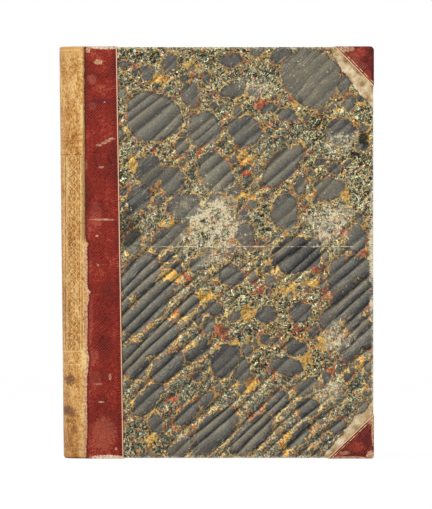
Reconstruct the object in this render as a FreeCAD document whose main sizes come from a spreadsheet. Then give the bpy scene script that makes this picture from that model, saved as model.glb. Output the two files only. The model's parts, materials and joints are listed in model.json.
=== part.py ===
import FreeCAD, Part
import math
import os

import Sketcher
from FreeCAD import Vector

# Antique half-leather book that stands on its tail edges.
# X runs from the back to the fore-edge, Y from the front cover to the back cover, Z up from the tail.
# The cover pieces are drawn from the front joint line and moved to their place along X.

doc = FreeCAD.newDocument("antique_book")

# Driving sizes, in millimetres.
sizes = {
    "board_height": 299.4,
    "board_width": 210.3,
    "board_thick": 3.0,
    "board_setback": 0.5,  # joint axis to the board's edge at the back
    "leather_thick": 0.8,
    "turn_in_thick": 0.4,  # leather pared where it is folded in behind the board
    "turn_in_width": 4.5,
    "side_paper_thick": 0.25,
    "pastedown_thick": 0.25,
    "cover_clearance": 0.3,  # inside of a closed cover to the flyleaf
    "flyleaf_thick": 0.3,
    "pages_thick": 39.4,
    "page_square": 2.7,  # boards past the pages at head and tail
    "fore_edge_square": 3.5,
    "fore_edge_hollow": 8.0,
    "head_bulge": 18.4,  # joint line to the back's furthest point, at the head
    "tail_bulge": 15.2,
    "joint_clearance": 0.15,  # back leather's edge to the joint axis
    "back_drop": 0.3,  # back leather below the face of the covers
    "inlay_thick": 0.6,
    "lining_thick": 0.4,
    "cap_thick": 1.2,  # leather rolled over the back at head and tail
    "cap_reach": 3.4,
    "cap_rounding": 0.6,
    "endband_clearance": 0.15,
    "endband_inset": 2.0,  # joint line to an endband's two ends
    "cord_width": 2.4,
    "cord_depth": 1.8,
    "end_cord_inset": 42.5,  # head or tail of the pages to the cord nearest it
    "side_leather_head": 24.1,  # joint line to the edge of the side leather
    "side_leather_tail": 29.0,
    "head_corner_across": 29.1,
    "head_corner_down": 29.6,
    "tail_corner_across": 33.9,
    "tail_corner_up": 32.5,
    "head_corner_rounding": 3.0,
    "tail_corner_rounding": 1.8,
    "edge_rounding": 0.5,
}
cord_count = 5

sheet = doc.addObject("Spreadsheet::Sheet", "sizes")
for row, (name, value) in enumerate(sizes.items(), start=1):
    sheet.set("A%d" % row, name.replace("_", " "))
    sheet.set("B%d" % row, str(value))
    sheet.setAlias("B%d" % row, name)
doc.recompute()

# Places worked out from the driving sizes. Faces of a cover are told by their distance from the middle.
places = doc.addObject("App::VarSet", "places")


def addPlace(name, expression):
    places.addProperty("App::PropertyFloat", name, "Places")
    places.setExpression(name, expression)
    doc.recompute()


addPlace("cover_height", "sizes.board_height + 2 * sizes.leather_thick")
addPlace("board_end", "sizes.board_setback + sizes.board_width")
addPlace("cover_reach", "places.board_end + sizes.leather_thick")
addPlace("inside_thick", "max(sizes.turn_in_thick; sizes.pastedown_thick; sizes.side_paper_thick)")
addPlace("flyleaf_face", "sizes.pages_thick / 2 + sizes.flyleaf_thick")
addPlace("board_inner", "places.flyleaf_face + sizes.cover_clearance + places.inside_thick")
addPlace("board_outer", "places.board_inner + sizes.board_thick")
addPlace("outer_face", "places.board_outer + sizes.leather_thick")
addPlace("joint_x", "(max(sizes.head_bulge; sizes.tail_bulge) - places.cover_reach) / 2")
addPlace("page_bottom", "sizes.leather_thick + sizes.page_square")
addPlace("page_top", "places.cover_height - places.page_bottom")
addPlace("page_end", "places.board_end - sizes.fore_edge_square")
addPlace("first_cord", "places.page_bottom + sizes.end_cord_inset")
addPlace("last_cord", "places.page_top - sizes.end_cord_inset - sizes.cord_width")
addPlace("cord_spacing", "(places.last_cord - places.first_cord) / %d" % (cord_count - 1))
addPlace("back_half", "places.outer_face - sizes.back_drop")
addPlace("full_bulge", "max(sizes.head_bulge; sizes.tail_bulge)")
addPlace("back_radius", "(places.back_half ^ 2 + places.full_bulge ^ 2) / (2 * places.full_bulge)")
addPlace("lean", "(sizes.head_bulge - sizes.tail_bulge) / places.cover_height")
addPlace("inlay_inset", "sizes.leather_thick + sizes.inlay_thick")
addPlace("page_inset", "places.inlay_inset + sizes.lining_thick")
addPlace("inner_edge", "sizes.leather_thick + sizes.turn_in_width")
addPlace("endband_room", "places.page_bottom - sizes.cap_thick - sizes.endband_clearance")


def worked(expression):
    return float(sheet.evalExpression(expression))


# The back's curve has its axis in the middle plane, leaning towards the head. Its place along X at a height.
def axisAlongX(height):
    return "(places.joint_x + places.back_radius - sizes.tail_bulge - places.lean * (%s))" % height


# An outline as a sketch: each point is a pair of expressions, and a round side has a radius.
# A round side runs counter-clockwise when its radius comes with +1, clockwise with -1.
def drawOutline(sketch, points, rounds):
    places2d = [Vector(worked(across), worked(up), 0) for across, up in points]
    ends = []
    for i, start in enumerate(places2d):
        end = places2d[(i + 1) % len(points)]
        if i not in rounds:
            sketch.addGeometry(Part.LineSegment(start, end), False)
            ends.append((1, 2))
            continue
        radius = worked(rounds[i][0])
        turn = rounds[i][1]
        chord = end - start
        side = Vector(-chord.y, chord.x, 0).normalize() * turn
        middle = (start + end) / 2 + side * math.sqrt(max(radius ** 2 - (chord.Length / 2) ** 2, 0))
        first, last = (start, end) if turn > 0 else (end, start)
        angles = [math.atan2(p.y - middle.y, p.x - middle.x) for p in (first, last)]
        circle = Part.Circle(middle, Vector(0, 0, 1), radius)
        sketch.addGeometry(Part.ArcOfCircle(circle, angles[0], angles[1]), False)
        ends.append((1, 2) if turn > 0 else (2, 1))
    for i in range(len(points)):
        following = (i + 1) % len(points)
        sketch.addConstraint(
            Sketcher.Constraint("Coincident", i, ends[i][1], following, ends[following][0])
        )
    for i, point in enumerate(points):
        for kind, expression in zip(("DistanceX", "DistanceY"), point):
            value = worked(expression)
            number = sketch.addConstraint(Sketcher.Constraint(kind, -1, 1, i, ends[i][0], value))
            sketch.setExpression("Constraints[%d]" % number, expression)
    for i, (radius, turn) in rounds.items():
        number = sketch.addConstraint(Sketcher.Constraint("Radius", i, worked(radius)))
        sketch.setExpression("Constraints[%d]" % number, radius)


def placeAlongX(item):
    item.setExpression(".Placement.Base.x", "places.joint_x")


# A plate parallel to the covers, or to the pages' head, between two distances from the middle planes.
def makePlate(name, plane, near, far, points, rounds=None):
    body = doc.addObject("PartDesign::Body", name)
    body.Label = name
    sketch = body.newObject("Sketcher::SketchObject", name + "_outline")
    support = [item for item in body.Origin.OriginFeatures if item.Role == plane][0]
    sketch.AttachmentSupport = [(support, "")]
    sketch.MapMode = "FlatFace"
    sketch.setExpression(".AttachmentOffset.Base.z", near)
    drawOutline(sketch, points, rounds or {})
    pad = body.newObject("PartDesign::Pad", name + "_pad")
    pad.Profile = sketch
    pad.setExpression("Length", "(%s) - (%s)" % (far, near))
    placeAlongX(body)
    doc.recompute()
    return body


# A cover-shaped plate, rounded at its two fore-edge corners.
def makeCoverPlate(name, near, far, end, margin, shrink):
    top = "places.cover_height - (%s)" % margin
    head = "max(sizes.head_corner_rounding - (%s); 0.1)" % shrink
    tail = "max(sizes.tail_corner_rounding - (%s); 0.1)" % shrink
    points = [
        ("sizes.board_setback", margin),
        ("%s - %s" % (end, tail), margin),
        (end, "%s + %s" % (margin, tail)),
        (end, "%s - %s" % (top, head)),
        ("%s - %s" % (end, head), top),
        ("sizes.board_setback", top),
    ]
    return makePlate(name, "XZ_Plane", near, far, points, {1: (tail, 1), 3: (head, 1)})


# Rounds the rim of a plate's outer face, except its edge at the joint.
def roundRim(body, radius):
    face = worked("places.outer_face")
    back = worked("sizes.board_setback")
    plate = body.Tip
    rim = []
    for number, edge in enumerate(plate.Shape.Edges, start=1):
        corners = [vertex.Point for vertex in edge.Vertexes]
        on_face = all(abs(corner.y + face) < 0.001 for corner in corners)
        at_back = all(abs(corner.x - back) < 0.001 for corner in corners)
        if on_face and not at_back:
            rim.append("Edge%d" % number)
    fillet = body.newObject("PartDesign::Fillet", body.Name + "_rim")
    fillet.Base = (plate, rim)
    fillet.setExpression("Radius", radius)
    body.Tip = fillet
    doc.recompute()


def cut(name, base, *tools):
    # Takes several tools away from a base, and names the result.
    tool = tools[0]
    if len(tools) > 1:
        tool = doc.addObject("Part::MultiFuse", name + "_tools")
        tool.Shapes = list(tools)
    result = doc.addObject("Part::Cut", name)
    result.Label = name
    result.Base = base
    result.Tool = tool
    result.Refine = True
    doc.recompute()
    return result


def common(name, first, second):
    result = doc.addObject("Part::MultiCommon", name)
    result.Label = name
    result.Shapes = [first, second]
    result.Refine = True
    doc.recompute()
    return result


# Covers: board, leather folded round its edges, side paper between, pastedown inside.
front_board = makeCoverPlate(
    "front_board",
    "places.board_inner",
    "places.board_outer",
    "places.board_end",
    "sizes.leather_thick",
    "sizes.leather_thick",
)
leather_wrap = makeCoverPlate(
    "leather_wrap",
    "places.board_inner - sizes.turn_in_thick",
    "places.outer_face",
    "places.cover_reach",
    "0",
    "0",
)
roundRim(leather_wrap, "sizes.edge_rounding")
paper_wrap = makeCoverPlate(
    "paper_wrap",
    "places.board_inner - sizes.side_paper_thick",
    "places.board_outer + sizes.side_paper_thick",
    "(places.board_end + sizes.side_paper_thick)",
    "(sizes.leather_thick - sizes.side_paper_thick)",
    "sizes.leather_thick - sizes.side_paper_thick",
)
inner_frame = [
    ("sizes.board_setback", "places.inner_edge"),
    ("places.cover_reach - places.inner_edge", "places.inner_edge"),
    ("places.cover_reach - places.inner_edge", "places.cover_height - places.inner_edge"),
    ("sizes.board_setback", "places.cover_height - places.inner_edge"),
]
front_pastedown = makePlate(
    "front_pastedown",
    "XZ_Plane",
    "places.board_inner - sizes.pastedown_thick",
    "places.board_inner",
    inner_frame,
)
inside = makePlate("inside", "XZ_Plane", "0", "places.board_inner", inner_frame)
side_region = makePlate(
    "side_region",
    "XZ_Plane",
    "0",
    "places.outer_face",
    [
        ("sizes.board_setback", "0"),
        ("sizes.side_leather_tail", "0"),
        ("sizes.side_leather_head", "places.cover_height"),
        ("sizes.board_setback", "places.cover_height"),
    ],
)
head_region = makePlate(
    "head_region",
    "XZ_Plane",
    "0",
    "places.outer_face",
    [
        ("places.cover_reach", "places.cover_height"),
        ("places.cover_reach - sizes.head_corner_across", "places.cover_height"),
        ("places.cover_reach", "places.cover_height - sizes.head_corner_down"),
    ],
)
tail_region = makePlate(
    "tail_region",
    "XZ_Plane",
    "0",
    "places.outer_face",
    [
        ("places.cover_reach", "0"),
        ("places.cover_reach", "sizes.tail_corner_up"),
        ("places.cover_reach - sizes.tail_corner_across", "0"),
    ],
)
leather_fold = cut("leather_fold", leather_wrap, front_board, inside)
front_pieces = [
    front_board,
    common("front_side_leather", leather_fold, side_region),
    common("front_head_corner", leather_fold, head_region),
    common("front_tail_corner", leather_fold, tail_region),
    cut(
        "front_marbled_paper",
        paper_wrap,
        front_board,
        inside,
        side_region,
        head_region,
        tail_region,
    ),
    front_pastedown,
]


# A slab over the whole plan of the book between two heights.
def makeSlab(name, bottom, top):
    slab = doc.addObject("Part::Box", name)
    slab.setExpression("Length", "2 * places.cover_reach")
    slab.setExpression("Width", "4 * places.outer_face")
    slab.setExpression("Height", "(%s) - (%s)" % (top, bottom))
    slab.setExpression(".Placement.Base.x", "-places.cover_reach")
    slab.setExpression(".Placement.Base.y", "-2 * places.outer_face")
    slab.setExpression(".Placement.Base.z", bottom)
    return slab


# A round disc or bar on the back's leaning axis, between two heights.
def makeRound(name, radius, bottom, thick):
    bar = doc.addObject("Part::Cylinder", name)
    bar.setExpression("Radius", radius)
    bar.setExpression("Height", thick)
    bar.Placement = FreeCAD.Placement(Vector(), FreeCAD.Rotation(Vector(0, 1, 0), 1))
    bar.setExpression(".Placement.Rotation.Angle", "-atan(places.lean)")
    bar.setExpression(".Placement.Base.x", axisAlongX(bottom))
    bar.setExpression(".Placement.Base.z", bottom)
    return bar


behind_joints = makeSlab("behind_joints", "0", "places.cover_height")
behind_joints.setExpression("Length", "places.cover_reach")
behind_joints.setExpression(
    ".Placement.Base.x", "places.joint_x - sizes.joint_clearance - places.cover_reach"
)
between_caps = makeSlab("between_caps", "sizes.cap_thick", "places.cover_height - sizes.cap_thick")
page_slab = makeSlab("page_slab", "places.page_bottom", "places.page_top")


# The rounded back: D-shaped solids from tail to head, each an inset inside the leather's outer face.
def makeBack(name, inset):
    overrun = "places.back_radius / 10"
    bar = makeRound(
        name + "_round",
        "places.back_radius - (%s)" % inset,
        "-" + overrun,
        "places.cover_height + 2 * " + overrun,
    )
    return common(name, bar, behind_joints)


back_outside = makeBack("back_outside", "0")
back_leather_inside = makeBack("back_leather_inside", "sizes.leather_thick")
back_inlay_inside = makeBack("back_inlay_inside", "places.inlay_inset")
back_of_pages = makeBack("back_of_pages", "places.page_inset")
cap_opening = makeBack("cap_opening", "sizes.cap_reach")

# Leather of the back, rolled over at head and tail, with its rolled edges rounded.
rolled_edges = []
for number, edge in enumerate(back_outside.Shape.Edges, start=1):
    level = all(abs(v.Z - edge.Vertexes[0].Z) < 0.001 for v in edge.Vertexes)
    if level and edge.Curve.TypeId != "Part::GeomLine":
        rolled_edges.append(number)
rolled_back = doc.addObject("Part::Fillet", "rolled_back")
rolled_back.Base = back_outside
rolled_back.Edges = [(number, sizes["cap_rounding"], sizes["cap_rounding"]) for number in rolled_edges]
doc.recompute()
leather_hollow = common("leather_hollow", back_leather_inside, between_caps)
spine_leather = cut("spine_leather", rolled_back, leather_hollow, cap_opening)
inlay_core = cut("inlay_core", leather_hollow, back_inlay_inside)
inlay_core.Label = "spine_inlay"
lining_core = cut("lining_core", back_inlay_inside, back_of_pages)
spine_lining = common("spine_lining", lining_core, page_slab)

# Sewing cords, pressed into sawn grooves round the back and level with it.
under_cords = makeBack("under_cords", "places.page_inset + sizes.cord_depth")
cords = []
for i in range(cord_count):
    name = "sewing_cord_%d" % (i + 1)
    height = "(places.first_cord + %d * places.cord_spacing)" % i
    disc = makeRound(name + "_disc", "places.back_radius", height, "sizes.cord_width")
    cords.append(cut(name, common(name + "_slice", disc, back_of_pages), under_cords))

# Pages as one solid: straight sides, hollow fore-edge, rounded back with shoulders and sawn grooves.
half_pages = "sizes.pages_thick / 2"
hollow_radius = "((%s) ^ 2 + sizes.fore_edge_hollow ^ 2) / (2 * sizes.fore_edge_hollow)" % half_pages
page_stack = makePlate(
    "page_stack",
    "XY_Plane",
    "places.page_bottom",
    "places.page_top",
    [
        ("-sizes.joint_clearance", "-" + half_pages),
        ("places.page_end", "-" + half_pages),
        ("places.page_end", half_pages),
        ("-sizes.joint_clearance", half_pages),
    ],
    {1: (hollow_radius, -1)},
)
page_back = common("page_back", back_of_pages, page_slab)
whole_pages = doc.addObject("Part::MultiFuse", "whole_pages")
whole_pages.Shapes = [page_stack, page_back]
whole_pages.Refine = True
text_block = cut("text_block", whole_pages, *cords)

front_flyleaf = makePlate(
    "front_flyleaf",
    "XZ_Plane",
    half_pages,
    "places.flyleaf_face",
    [
        ("0", "places.page_bottom"),
        ("places.page_end", "places.page_bottom"),
        ("places.page_end", "places.page_top"),
        ("0", "places.page_top"),
    ],
)


# Endbands: eight-sided rolls laid round the back on the head and tail of the pages, under the rolled
# leather.
def makeEndband(end, seat):
    half = "places.endband_room / 2"
    flat = "%s * tan(22.5)" % half
    radius = "(places.back_radius - places.page_inset - sizes.endband_clearance - %s)" % half
    body = doc.addObject("PartDesign::Body", end + "_endband")
    body.Label = end + "_endband"
    sketch = body.newObject("Sketcher::SketchObject", end + "_endband_section")
    support = [item for item in body.Origin.OriginFeatures if item.Role == "XZ_Plane"][0]
    sketch.AttachmentSupport = [(support, "")]
    sketch.MapMode = "FlatFace"
    corners = [("+", "-", 1), ("+", "+", 1), ("+", "+", 0), ("-", "+", 0)]
    corners += [("-", "+", 1), ("-", "-", 1), ("-", "-", 0), ("+", "-", 0)]
    points = []
    for side, level, wide in corners:
        across, height = (half, flat) if wide else (flat, half)
        points.append(("-%s %s %s" % (radius, side, across), "%s %s %s" % (half, level, height)))
    drawOutline(sketch, points, {})
    band = body.newObject("PartDesign::Revolution", end + "_endband_turn")
    band.Profile = sketch
    band.ReferenceAxis = (sketch, ["V_Axis"])
    band.Midplane = True
    middle = "(places.back_radius - sizes.%s_bulge)" % end
    band.setExpression("Angle", "2 * acos((%s + sizes.endband_inset) / %s)" % (middle, radius))
    body.setExpression(".Placement.Base.x", "places.joint_x + " + middle)
    body.setExpression(".Placement.Base.z", seat)
    doc.recompute()
    return body


head_endband = makeEndband("head", "places.page_top")
tail_endband = makeEndband("tail", "places.page_bottom - places.endband_room")


# The back cover's pieces mirror the front cover's.
def mirrored(piece):
    other = doc.addObject("Part::Mirroring", piece.Name.replace("front_", "back_"))
    other.Label = piece.Label.replace("front_", "back_")
    other.Source = piece
    other.Normal = Vector(0, 1, 0)
    doc.recompute()
    return other


parts = front_pieces + [mirrored(piece) for piece in front_pieces]
parts += [front_flyleaf, mirrored(front_flyleaf)]
parts += [text_block, spine_lining, inlay_core, spine_leather, head_endband, tail_endband]
parts += cords

doc.recompute()
for item in doc.Objects:
    if "Invalid" in item.State or "Error" in item.State:
        raise RuntimeError("%s didn't build: %s" % (item.Label, item.State))
for part in parts:
    if part.Shape.isNull() or not part.Shape.isValid():
        raise RuntimeError("%s has no valid shape" % part.Label)

os.makedirs("parts", exist_ok=True)
for part in parts:
    part.Shape.exportStep("parts/%s.step" % part.Label)
    box = part.Shape.BoundBox
    print(
        "%-20s solids %d volume %.1f box %.2f..%.2f %.2f..%.2f %.2f..%.2f"
        % (
            part.Label,
            len(part.Shape.Solids),
            part.Shape.Volume,
            box.XMin,
            box.XMax,
            box.YMin,
            box.YMax,
            box.ZMin,
            box.ZMax,
        )
    )
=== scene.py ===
import json
import math
import random

import bpy
import numpy as np
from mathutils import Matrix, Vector


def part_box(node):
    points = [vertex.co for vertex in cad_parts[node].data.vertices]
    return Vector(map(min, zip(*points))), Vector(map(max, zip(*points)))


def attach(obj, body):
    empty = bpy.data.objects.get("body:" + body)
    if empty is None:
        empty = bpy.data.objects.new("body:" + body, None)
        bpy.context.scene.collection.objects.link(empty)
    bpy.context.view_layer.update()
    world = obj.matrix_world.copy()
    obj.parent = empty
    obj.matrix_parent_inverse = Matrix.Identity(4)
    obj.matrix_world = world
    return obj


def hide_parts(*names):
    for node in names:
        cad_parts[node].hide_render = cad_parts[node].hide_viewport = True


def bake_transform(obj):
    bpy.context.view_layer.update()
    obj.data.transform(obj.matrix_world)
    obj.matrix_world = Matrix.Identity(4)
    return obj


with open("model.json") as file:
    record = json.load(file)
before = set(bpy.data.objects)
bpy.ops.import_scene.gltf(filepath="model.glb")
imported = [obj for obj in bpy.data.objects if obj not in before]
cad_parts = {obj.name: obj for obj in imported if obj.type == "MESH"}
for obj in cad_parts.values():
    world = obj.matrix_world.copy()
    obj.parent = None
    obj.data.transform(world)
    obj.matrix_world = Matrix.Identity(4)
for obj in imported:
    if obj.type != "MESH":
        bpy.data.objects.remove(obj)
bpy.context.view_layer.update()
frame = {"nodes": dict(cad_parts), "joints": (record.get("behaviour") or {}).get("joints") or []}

# Antique half-leather book, standing on its tail edges. Metres, in the frame of the CAD model.

mm = 0.001
seed = 1871

# Sizes read from the frame
boardLow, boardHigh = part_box("front_board")
skinLow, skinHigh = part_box("front_side_leather")
pageLow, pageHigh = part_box("text_block")
leafLow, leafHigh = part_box("front_flyleaf")
hinge = next(joint for joint in frame["joints"] if joint["name"] == "front_hinge")
jointX = hinge["pos_m"][0]
coverFace = -skinLow[1]  # outer face of a cover, from the middle plane
bookHeight = skinHigh[2]
coverEnd = -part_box("spine_leather")[0][0]  # the book is centred: as far out as its back
boardFace = -boardLow[1]
boardInside = -boardHigh[1]
jointGap = 0.15 * mm  # the back and its pages end this far behind the joint line

# Photograph's frame, used to place what only the photograph shows
photo = {
    "width": 432,
    "height": 509,
    "pixel": 0.73 * mm,
    "foreEdge": 374.0,  # pixel column of the cover's fore-edge
    "head": 45.4,  # pixel row near its head edge
    "tail": 458.6,  # pixel row of its tail edge
}


def placeX(column):
    return coverEnd + (column - photo["foreEdge"]) * photo["pixel"]


def placeZ(row):
    return (photo["tail"] - row) * photo["pixel"]


# Shader helpers

def makeNode(tree, kind, **settings):
    made = tree.nodes.new(kind)
    for name, value in settings.items():
        setattr(made, name, value)
    return made


def feed(tree, socket, value):
    if isinstance(value, bpy.types.NodeSocket):
        tree.links.new(value, socket)
    else:
        socket.default_value = value


def maths(tree, operation, first, second=0.0, third=0.0, clamp=False):
    made = makeNode(tree, "ShaderNodeMath", operation=operation, use_clamp=clamp)
    for socket, value in zip(made.inputs, (first, second, third)):
        feed(tree, socket, value)
    return made.outputs[0]


def ease(tree, value, low, high):
    # 0 below low, 1 above high, smooth between; low above high turns it over
    made = makeNode(tree, "ShaderNodeMapRange", interpolation_type="SMOOTHSTEP")
    feed(tree, made.inputs["Value"], value)
    made.inputs["From Min"].default_value = low
    made.inputs["From Max"].default_value = high
    return made.outputs["Result"]


def near(tree, value, middle, half):
    # 1 where the value is within half of the middle, with soft edges
    apart = maths(tree, "ABSOLUTE", maths(tree, "SUBTRACT", value, middle))
    return ease(tree, apart, 1.4 * half, 0.6 * half)


def most(tree, values):
    total = values[0]
    for value in values[1:]:
        total = maths(tree, "MAXIMUM", total, value)
    return total


def times(tree, *values):
    total = values[0]
    for value in values[1:]:
        total = maths(tree, "MULTIPLY", total, value)
    return total


def mixColour(tree, share, first, second, blend="MIX"):
    made = makeNode(tree, "ShaderNodeMix", data_type="RGBA", blend_type=blend)
    feed(tree, made.inputs["Factor"], share)
    feed(tree, made.inputs["A"], first)
    feed(tree, made.inputs["B"], second)
    return made.outputs["Result"]


def scaled(tree, vector, factors, turn=(0, 0, 0)):
    made = makeNode(tree, "ShaderNodeMapping")
    feed(tree, made.inputs["Vector"], vector)
    made.inputs["Scale"].default_value = factors
    made.inputs["Rotation"].default_value = turn
    return made.outputs["Vector"]


def noise(tree, vector, size, detail=2.0, rough=0.5, warp=0.0, output="Fac"):
    # size is the width of a feature, in metres
    made = makeNode(tree, "ShaderNodeTexNoise")
    feed(tree, made.inputs["Vector"], vector)
    made.inputs["Scale"].default_value = 1.0 / size
    made.inputs["Detail"].default_value = detail
    made.inputs["Roughness"].default_value = rough
    made.inputs["Distortion"].default_value = warp
    return made.outputs[output]


def vectorMaths(tree, operation, *values, output="Vector"):
    made = makeNode(tree, "ShaderNodeVectorMath", operation=operation)
    for socket, value in zip(made.inputs, values):
        feed(tree, socket, value)
    return made.outputs[output]


def axes(tree, vector):
    made = makeNode(tree, "ShaderNodeSeparateXYZ")
    feed(tree, made.inputs[0], vector)
    return made.outputs


def strayed(tree, vector, size, amount):
    # a place moved smoothly, by up to the amount along each axis
    shift = noise(tree, vector, size, output="Color")
    return vectorMaths(tree, "MULTIPLY_ADD", shift, (amount,) * 3, vector)


def cells(tree, vector, size, feature="F1", output="Distance"):
    made = makeNode(tree, "ShaderNodeTexVoronoi", feature=feature)
    feed(tree, made.inputs["Vector"], vector)
    made.inputs["Scale"].default_value = 1.0 / size
    return made.outputs[output]


def colours(tree, value, stops):
    made = makeNode(tree, "ShaderNodeValToRGB")
    ramp = made.color_ramp.elements
    while len(ramp) < len(stops):
        ramp.new(0.5)
    for element, (place, colour) in zip(ramp, stops):
        element.position = place
        element.color = colour
    feed(tree, made.inputs["Fac"], value)
    return made.outputs["Color"]


def fromSrgb(red, green, blue):
    # a colour as it looks on screen, 0 to 255, turned to the linear one a shader takes
    linear = []
    for part in (red, green, blue):
        part /= 255
        linear.append(part / 12.92 if part <= 0.04045 else ((part + 0.055) / 1.055) ** 2.4)
    return (*linear, 1.0)


def newMaterial(name, roughness=0.7, specular=0.3):
    material = bpy.data.materials.new(name)
    material.use_nodes = True
    tree = material.node_tree
    shader = tree.nodes["Principled BSDF"]
    shader.inputs["Roughness"].default_value = roughness
    shader.inputs["Specular IOR Level"].default_value = specular
    return material, tree, shader


def objectPlace(tree):
    return makeNode(tree, "ShaderNodeTexCoord").outputs["Object"]


def pickUp(tree, name):
    # numbers that giveNumbers left on the mesh
    return makeNode(tree, "ShaderNodeAttribute", attribute_name=name).outputs["Fac"]


def bump(tree, shader, height, distance, strength=0.5):
    made = makeNode(tree, "ShaderNodeBump")
    made.inputs["Strength"].default_value = strength
    made.inputs["Distance"].default_value = distance
    feed(tree, made.inputs["Height"], height)
    tree.links.new(made.outputs["Normal"], shader.inputs["Normal"])


def newGroup(name, inputs, outputs):
    # inputs and outputs: name to (socket type, default)
    tree = bpy.data.node_groups.new(name, "ShaderNodeTree")
    for direction, sockets in (("INPUT", inputs), ("OUTPUT", outputs)):
        for label, (kind, default) in sockets.items():
            made = tree.interface.new_socket(name=label, in_out=direction, socket_type=kind)
            if default is not None:
                made.default_value = default
    start = tree.nodes.new("NodeGroupInput")
    end = tree.nodes.new("NodeGroupOutput")
    return tree, start.outputs, end.inputs


def useGroup(tree, group, **values):
    made = makeNode(tree, "ShaderNodeGroup", node_tree=group)
    for name, value in values.items():
        feed(tree, made.inputs[name], value)
    return made.outputs


vectorKind = "NodeSocketVector"
numberKind = "NodeSocketFloat"


# Shared effects, each a node group

def buildGrain():
    # straight-grained leather: fine slanted furrows that cross in places, as a height and a ridge mask
    tree, start, end = newGroup(
        "leatherGrain",
        {"Vector": (vectorKind, None), "Pitch": (numberKind, 1.45 * mm)},
        {"Height": (numberKind, None), "Ridge": (numberKind, None)},
    )
    moved = strayed(tree, start["Vector"], 9 * mm, 2.0 * mm)
    ridges = []
    for turn, low, high in ((0.84, 0.30, 0.42), (-0.80, 0.46, 0.36)):
        slanted = scaled(tree, moved, (1, 1, 1), (0, turn, 0))
        run = maths(tree, "FRACT", maths(tree, "DIVIDE", axes(tree, slanted)["Z"], start["Pitch"]))
        ridge = near(tree, run, 0.5, 0.26)
        broken = noise(tree, scaled(tree, slanted, (0.35, 1, 1)), 1.6 * mm, 3, 0.7)
        patch = noise(tree, start["Vector"], 15 * mm, 3, 0.6)
        ridges.append(times(tree, ridge, ease(tree, broken, 0.30, 0.48), ease(tree, patch, low, high)))
    both = maths(tree, "MAXIMUM", ridges[0], ridges[1])
    feed(tree, end["Ridge"], both)
    feed(tree, end["Height"], both)
    return tree


def buildRub():
    # patchy rubbing that takes hold where Amount is high, broken up by the grain of the surface
    tree, start, end = newGroup(
        "rubbing",
        {"Vector": (vectorKind, None), "Amount": (numberKind, 0.5)},
        {"Mask": (numberKind, None)},
    )
    broad = noise(tree, start["Vector"], 9 * mm, 4, 0.65)
    fine = noise(tree, start["Vector"], 1.1 * mm, 3, 0.7)
    both = maths(tree, "MULTIPLY_ADD", fine, 0.6, times(tree, broad, 0.7))
    edge = maths(tree, "ADD", both, start["Amount"])
    feed(tree, end["Mask"], ease(tree, edge, 1.05, 1.25))
    return tree


def buildSpot():
    # soft-edged oval about Middle, with half widths Reach, its rim made ragged by noise
    tree, start, end = newGroup(
        "spot",
        {
            "Vector": (vectorKind, None),
            "Middle": (vectorKind, (0, 0, 0)),
            "Reach": (vectorKind, (1, 1, 1)),
            "Ragged": (numberKind, 0.5),
        },
        {"Mask": (numberKind, None)},
    )
    apart = vectorMaths(tree, "SUBTRACT", start["Vector"], start["Middle"])
    ratio = vectorMaths(tree, "DIVIDE", apart, start["Reach"])
    length = vectorMaths(tree, "LENGTH", ratio, output="Value")
    broken = maths(tree, "SUBTRACT", noise(tree, start["Vector"], 2.2 * mm, 4, 0.75), 0.5)
    rim = maths(tree, "MULTIPLY_ADD", broken, start["Ragged"], length)
    feed(tree, end["Mask"], ease(tree, rim, 1.15, 0.75))
    return tree


def buildRule():
    # straight tooled line on a cover: it crosses Across at Offset, is Half wide each way, and wears through
    tree, start, end = newGroup(
        "tooledLine",
        {
            "Vector": (vectorKind, None),
            "Across": (vectorKind, (1, 0, 0)),
            "Offset": (numberKind, 0.0),
            "Half": (numberKind, 0.25 * mm),
            "Wear": (numberKind, 0.4),
        },
        {"Mask": (numberKind, None)},
    )
    along = vectorMaths(tree, "DOT_PRODUCT", start["Vector"], start["Across"], output="Value")
    apart = maths(tree, "ABSOLUTE", maths(tree, "SUBTRACT", along, start["Offset"]))
    line = ease(tree, maths(tree, "DIVIDE", apart, start["Half"]), 1.3, 0.8)
    gone = noise(tree, start["Vector"], 2.4 * mm, 4, 0.7)
    kept = maths(tree, "GREATER_THAN", gone, start["Wear"])
    soft = maths(tree, "MULTIPLY_ADD", kept, 0.75, 0.25)
    feed(tree, end["Mask"], times(tree, line, soft))
    return tree


def buildFibre():
    # fibres and toning of old paper: a height and a mottled tone
    tree, start, end = newGroup(
        "paperFibre",
        {"Vector": (vectorKind, None)},
        {"Height": (numberKind, None), "Tone": (numberKind, None)},
    )
    feed(tree, end["Height"], noise(tree, scaled(tree, start["Vector"], (1, 1, 3)), 0.9 * mm, 4, 0.7))
    feed(tree, end["Tone"], noise(tree, start["Vector"], 30 * mm, 4, 0.6))
    return tree


grain = buildGrain()
rub = buildRub()
spot = buildSpot()
tooledLine = buildRule()
fibre = buildFibre()


def ovalMark(tree, place, oval, ragged, middleY=-coverFace, reachY=coverFace):
    # mask of one mark seen in the photograph: pixel column and row, half width, half height
    column, row, halfX, halfY = oval
    return useGroup(
        tree, spot, Vector=place, Ragged=ragged,
        Middle=(placeX(column), middleY, placeZ(row)),
        Reach=(halfX * photo["pixel"], reachY, halfY * photo["pixel"]),
    )["Mask"]


print("shared effects built")


# Camera, floor and light

camera = {"distance": 9.0, "sensor": 36.0}
ground = {"half": 6.0, "grey": 0.9, "glow": 1.04, "glowShare": 0.9}
lights = {
    "ambient": 0.62,
    "keyPower": 34.0,
    "fillPower": 13.0,
    "keyPlace": (-1.5, -2.4, 2.0),
    "fillPlace": (2.2, -2.0, 0.9),
    "lampSize": 1.6,
}


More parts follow.
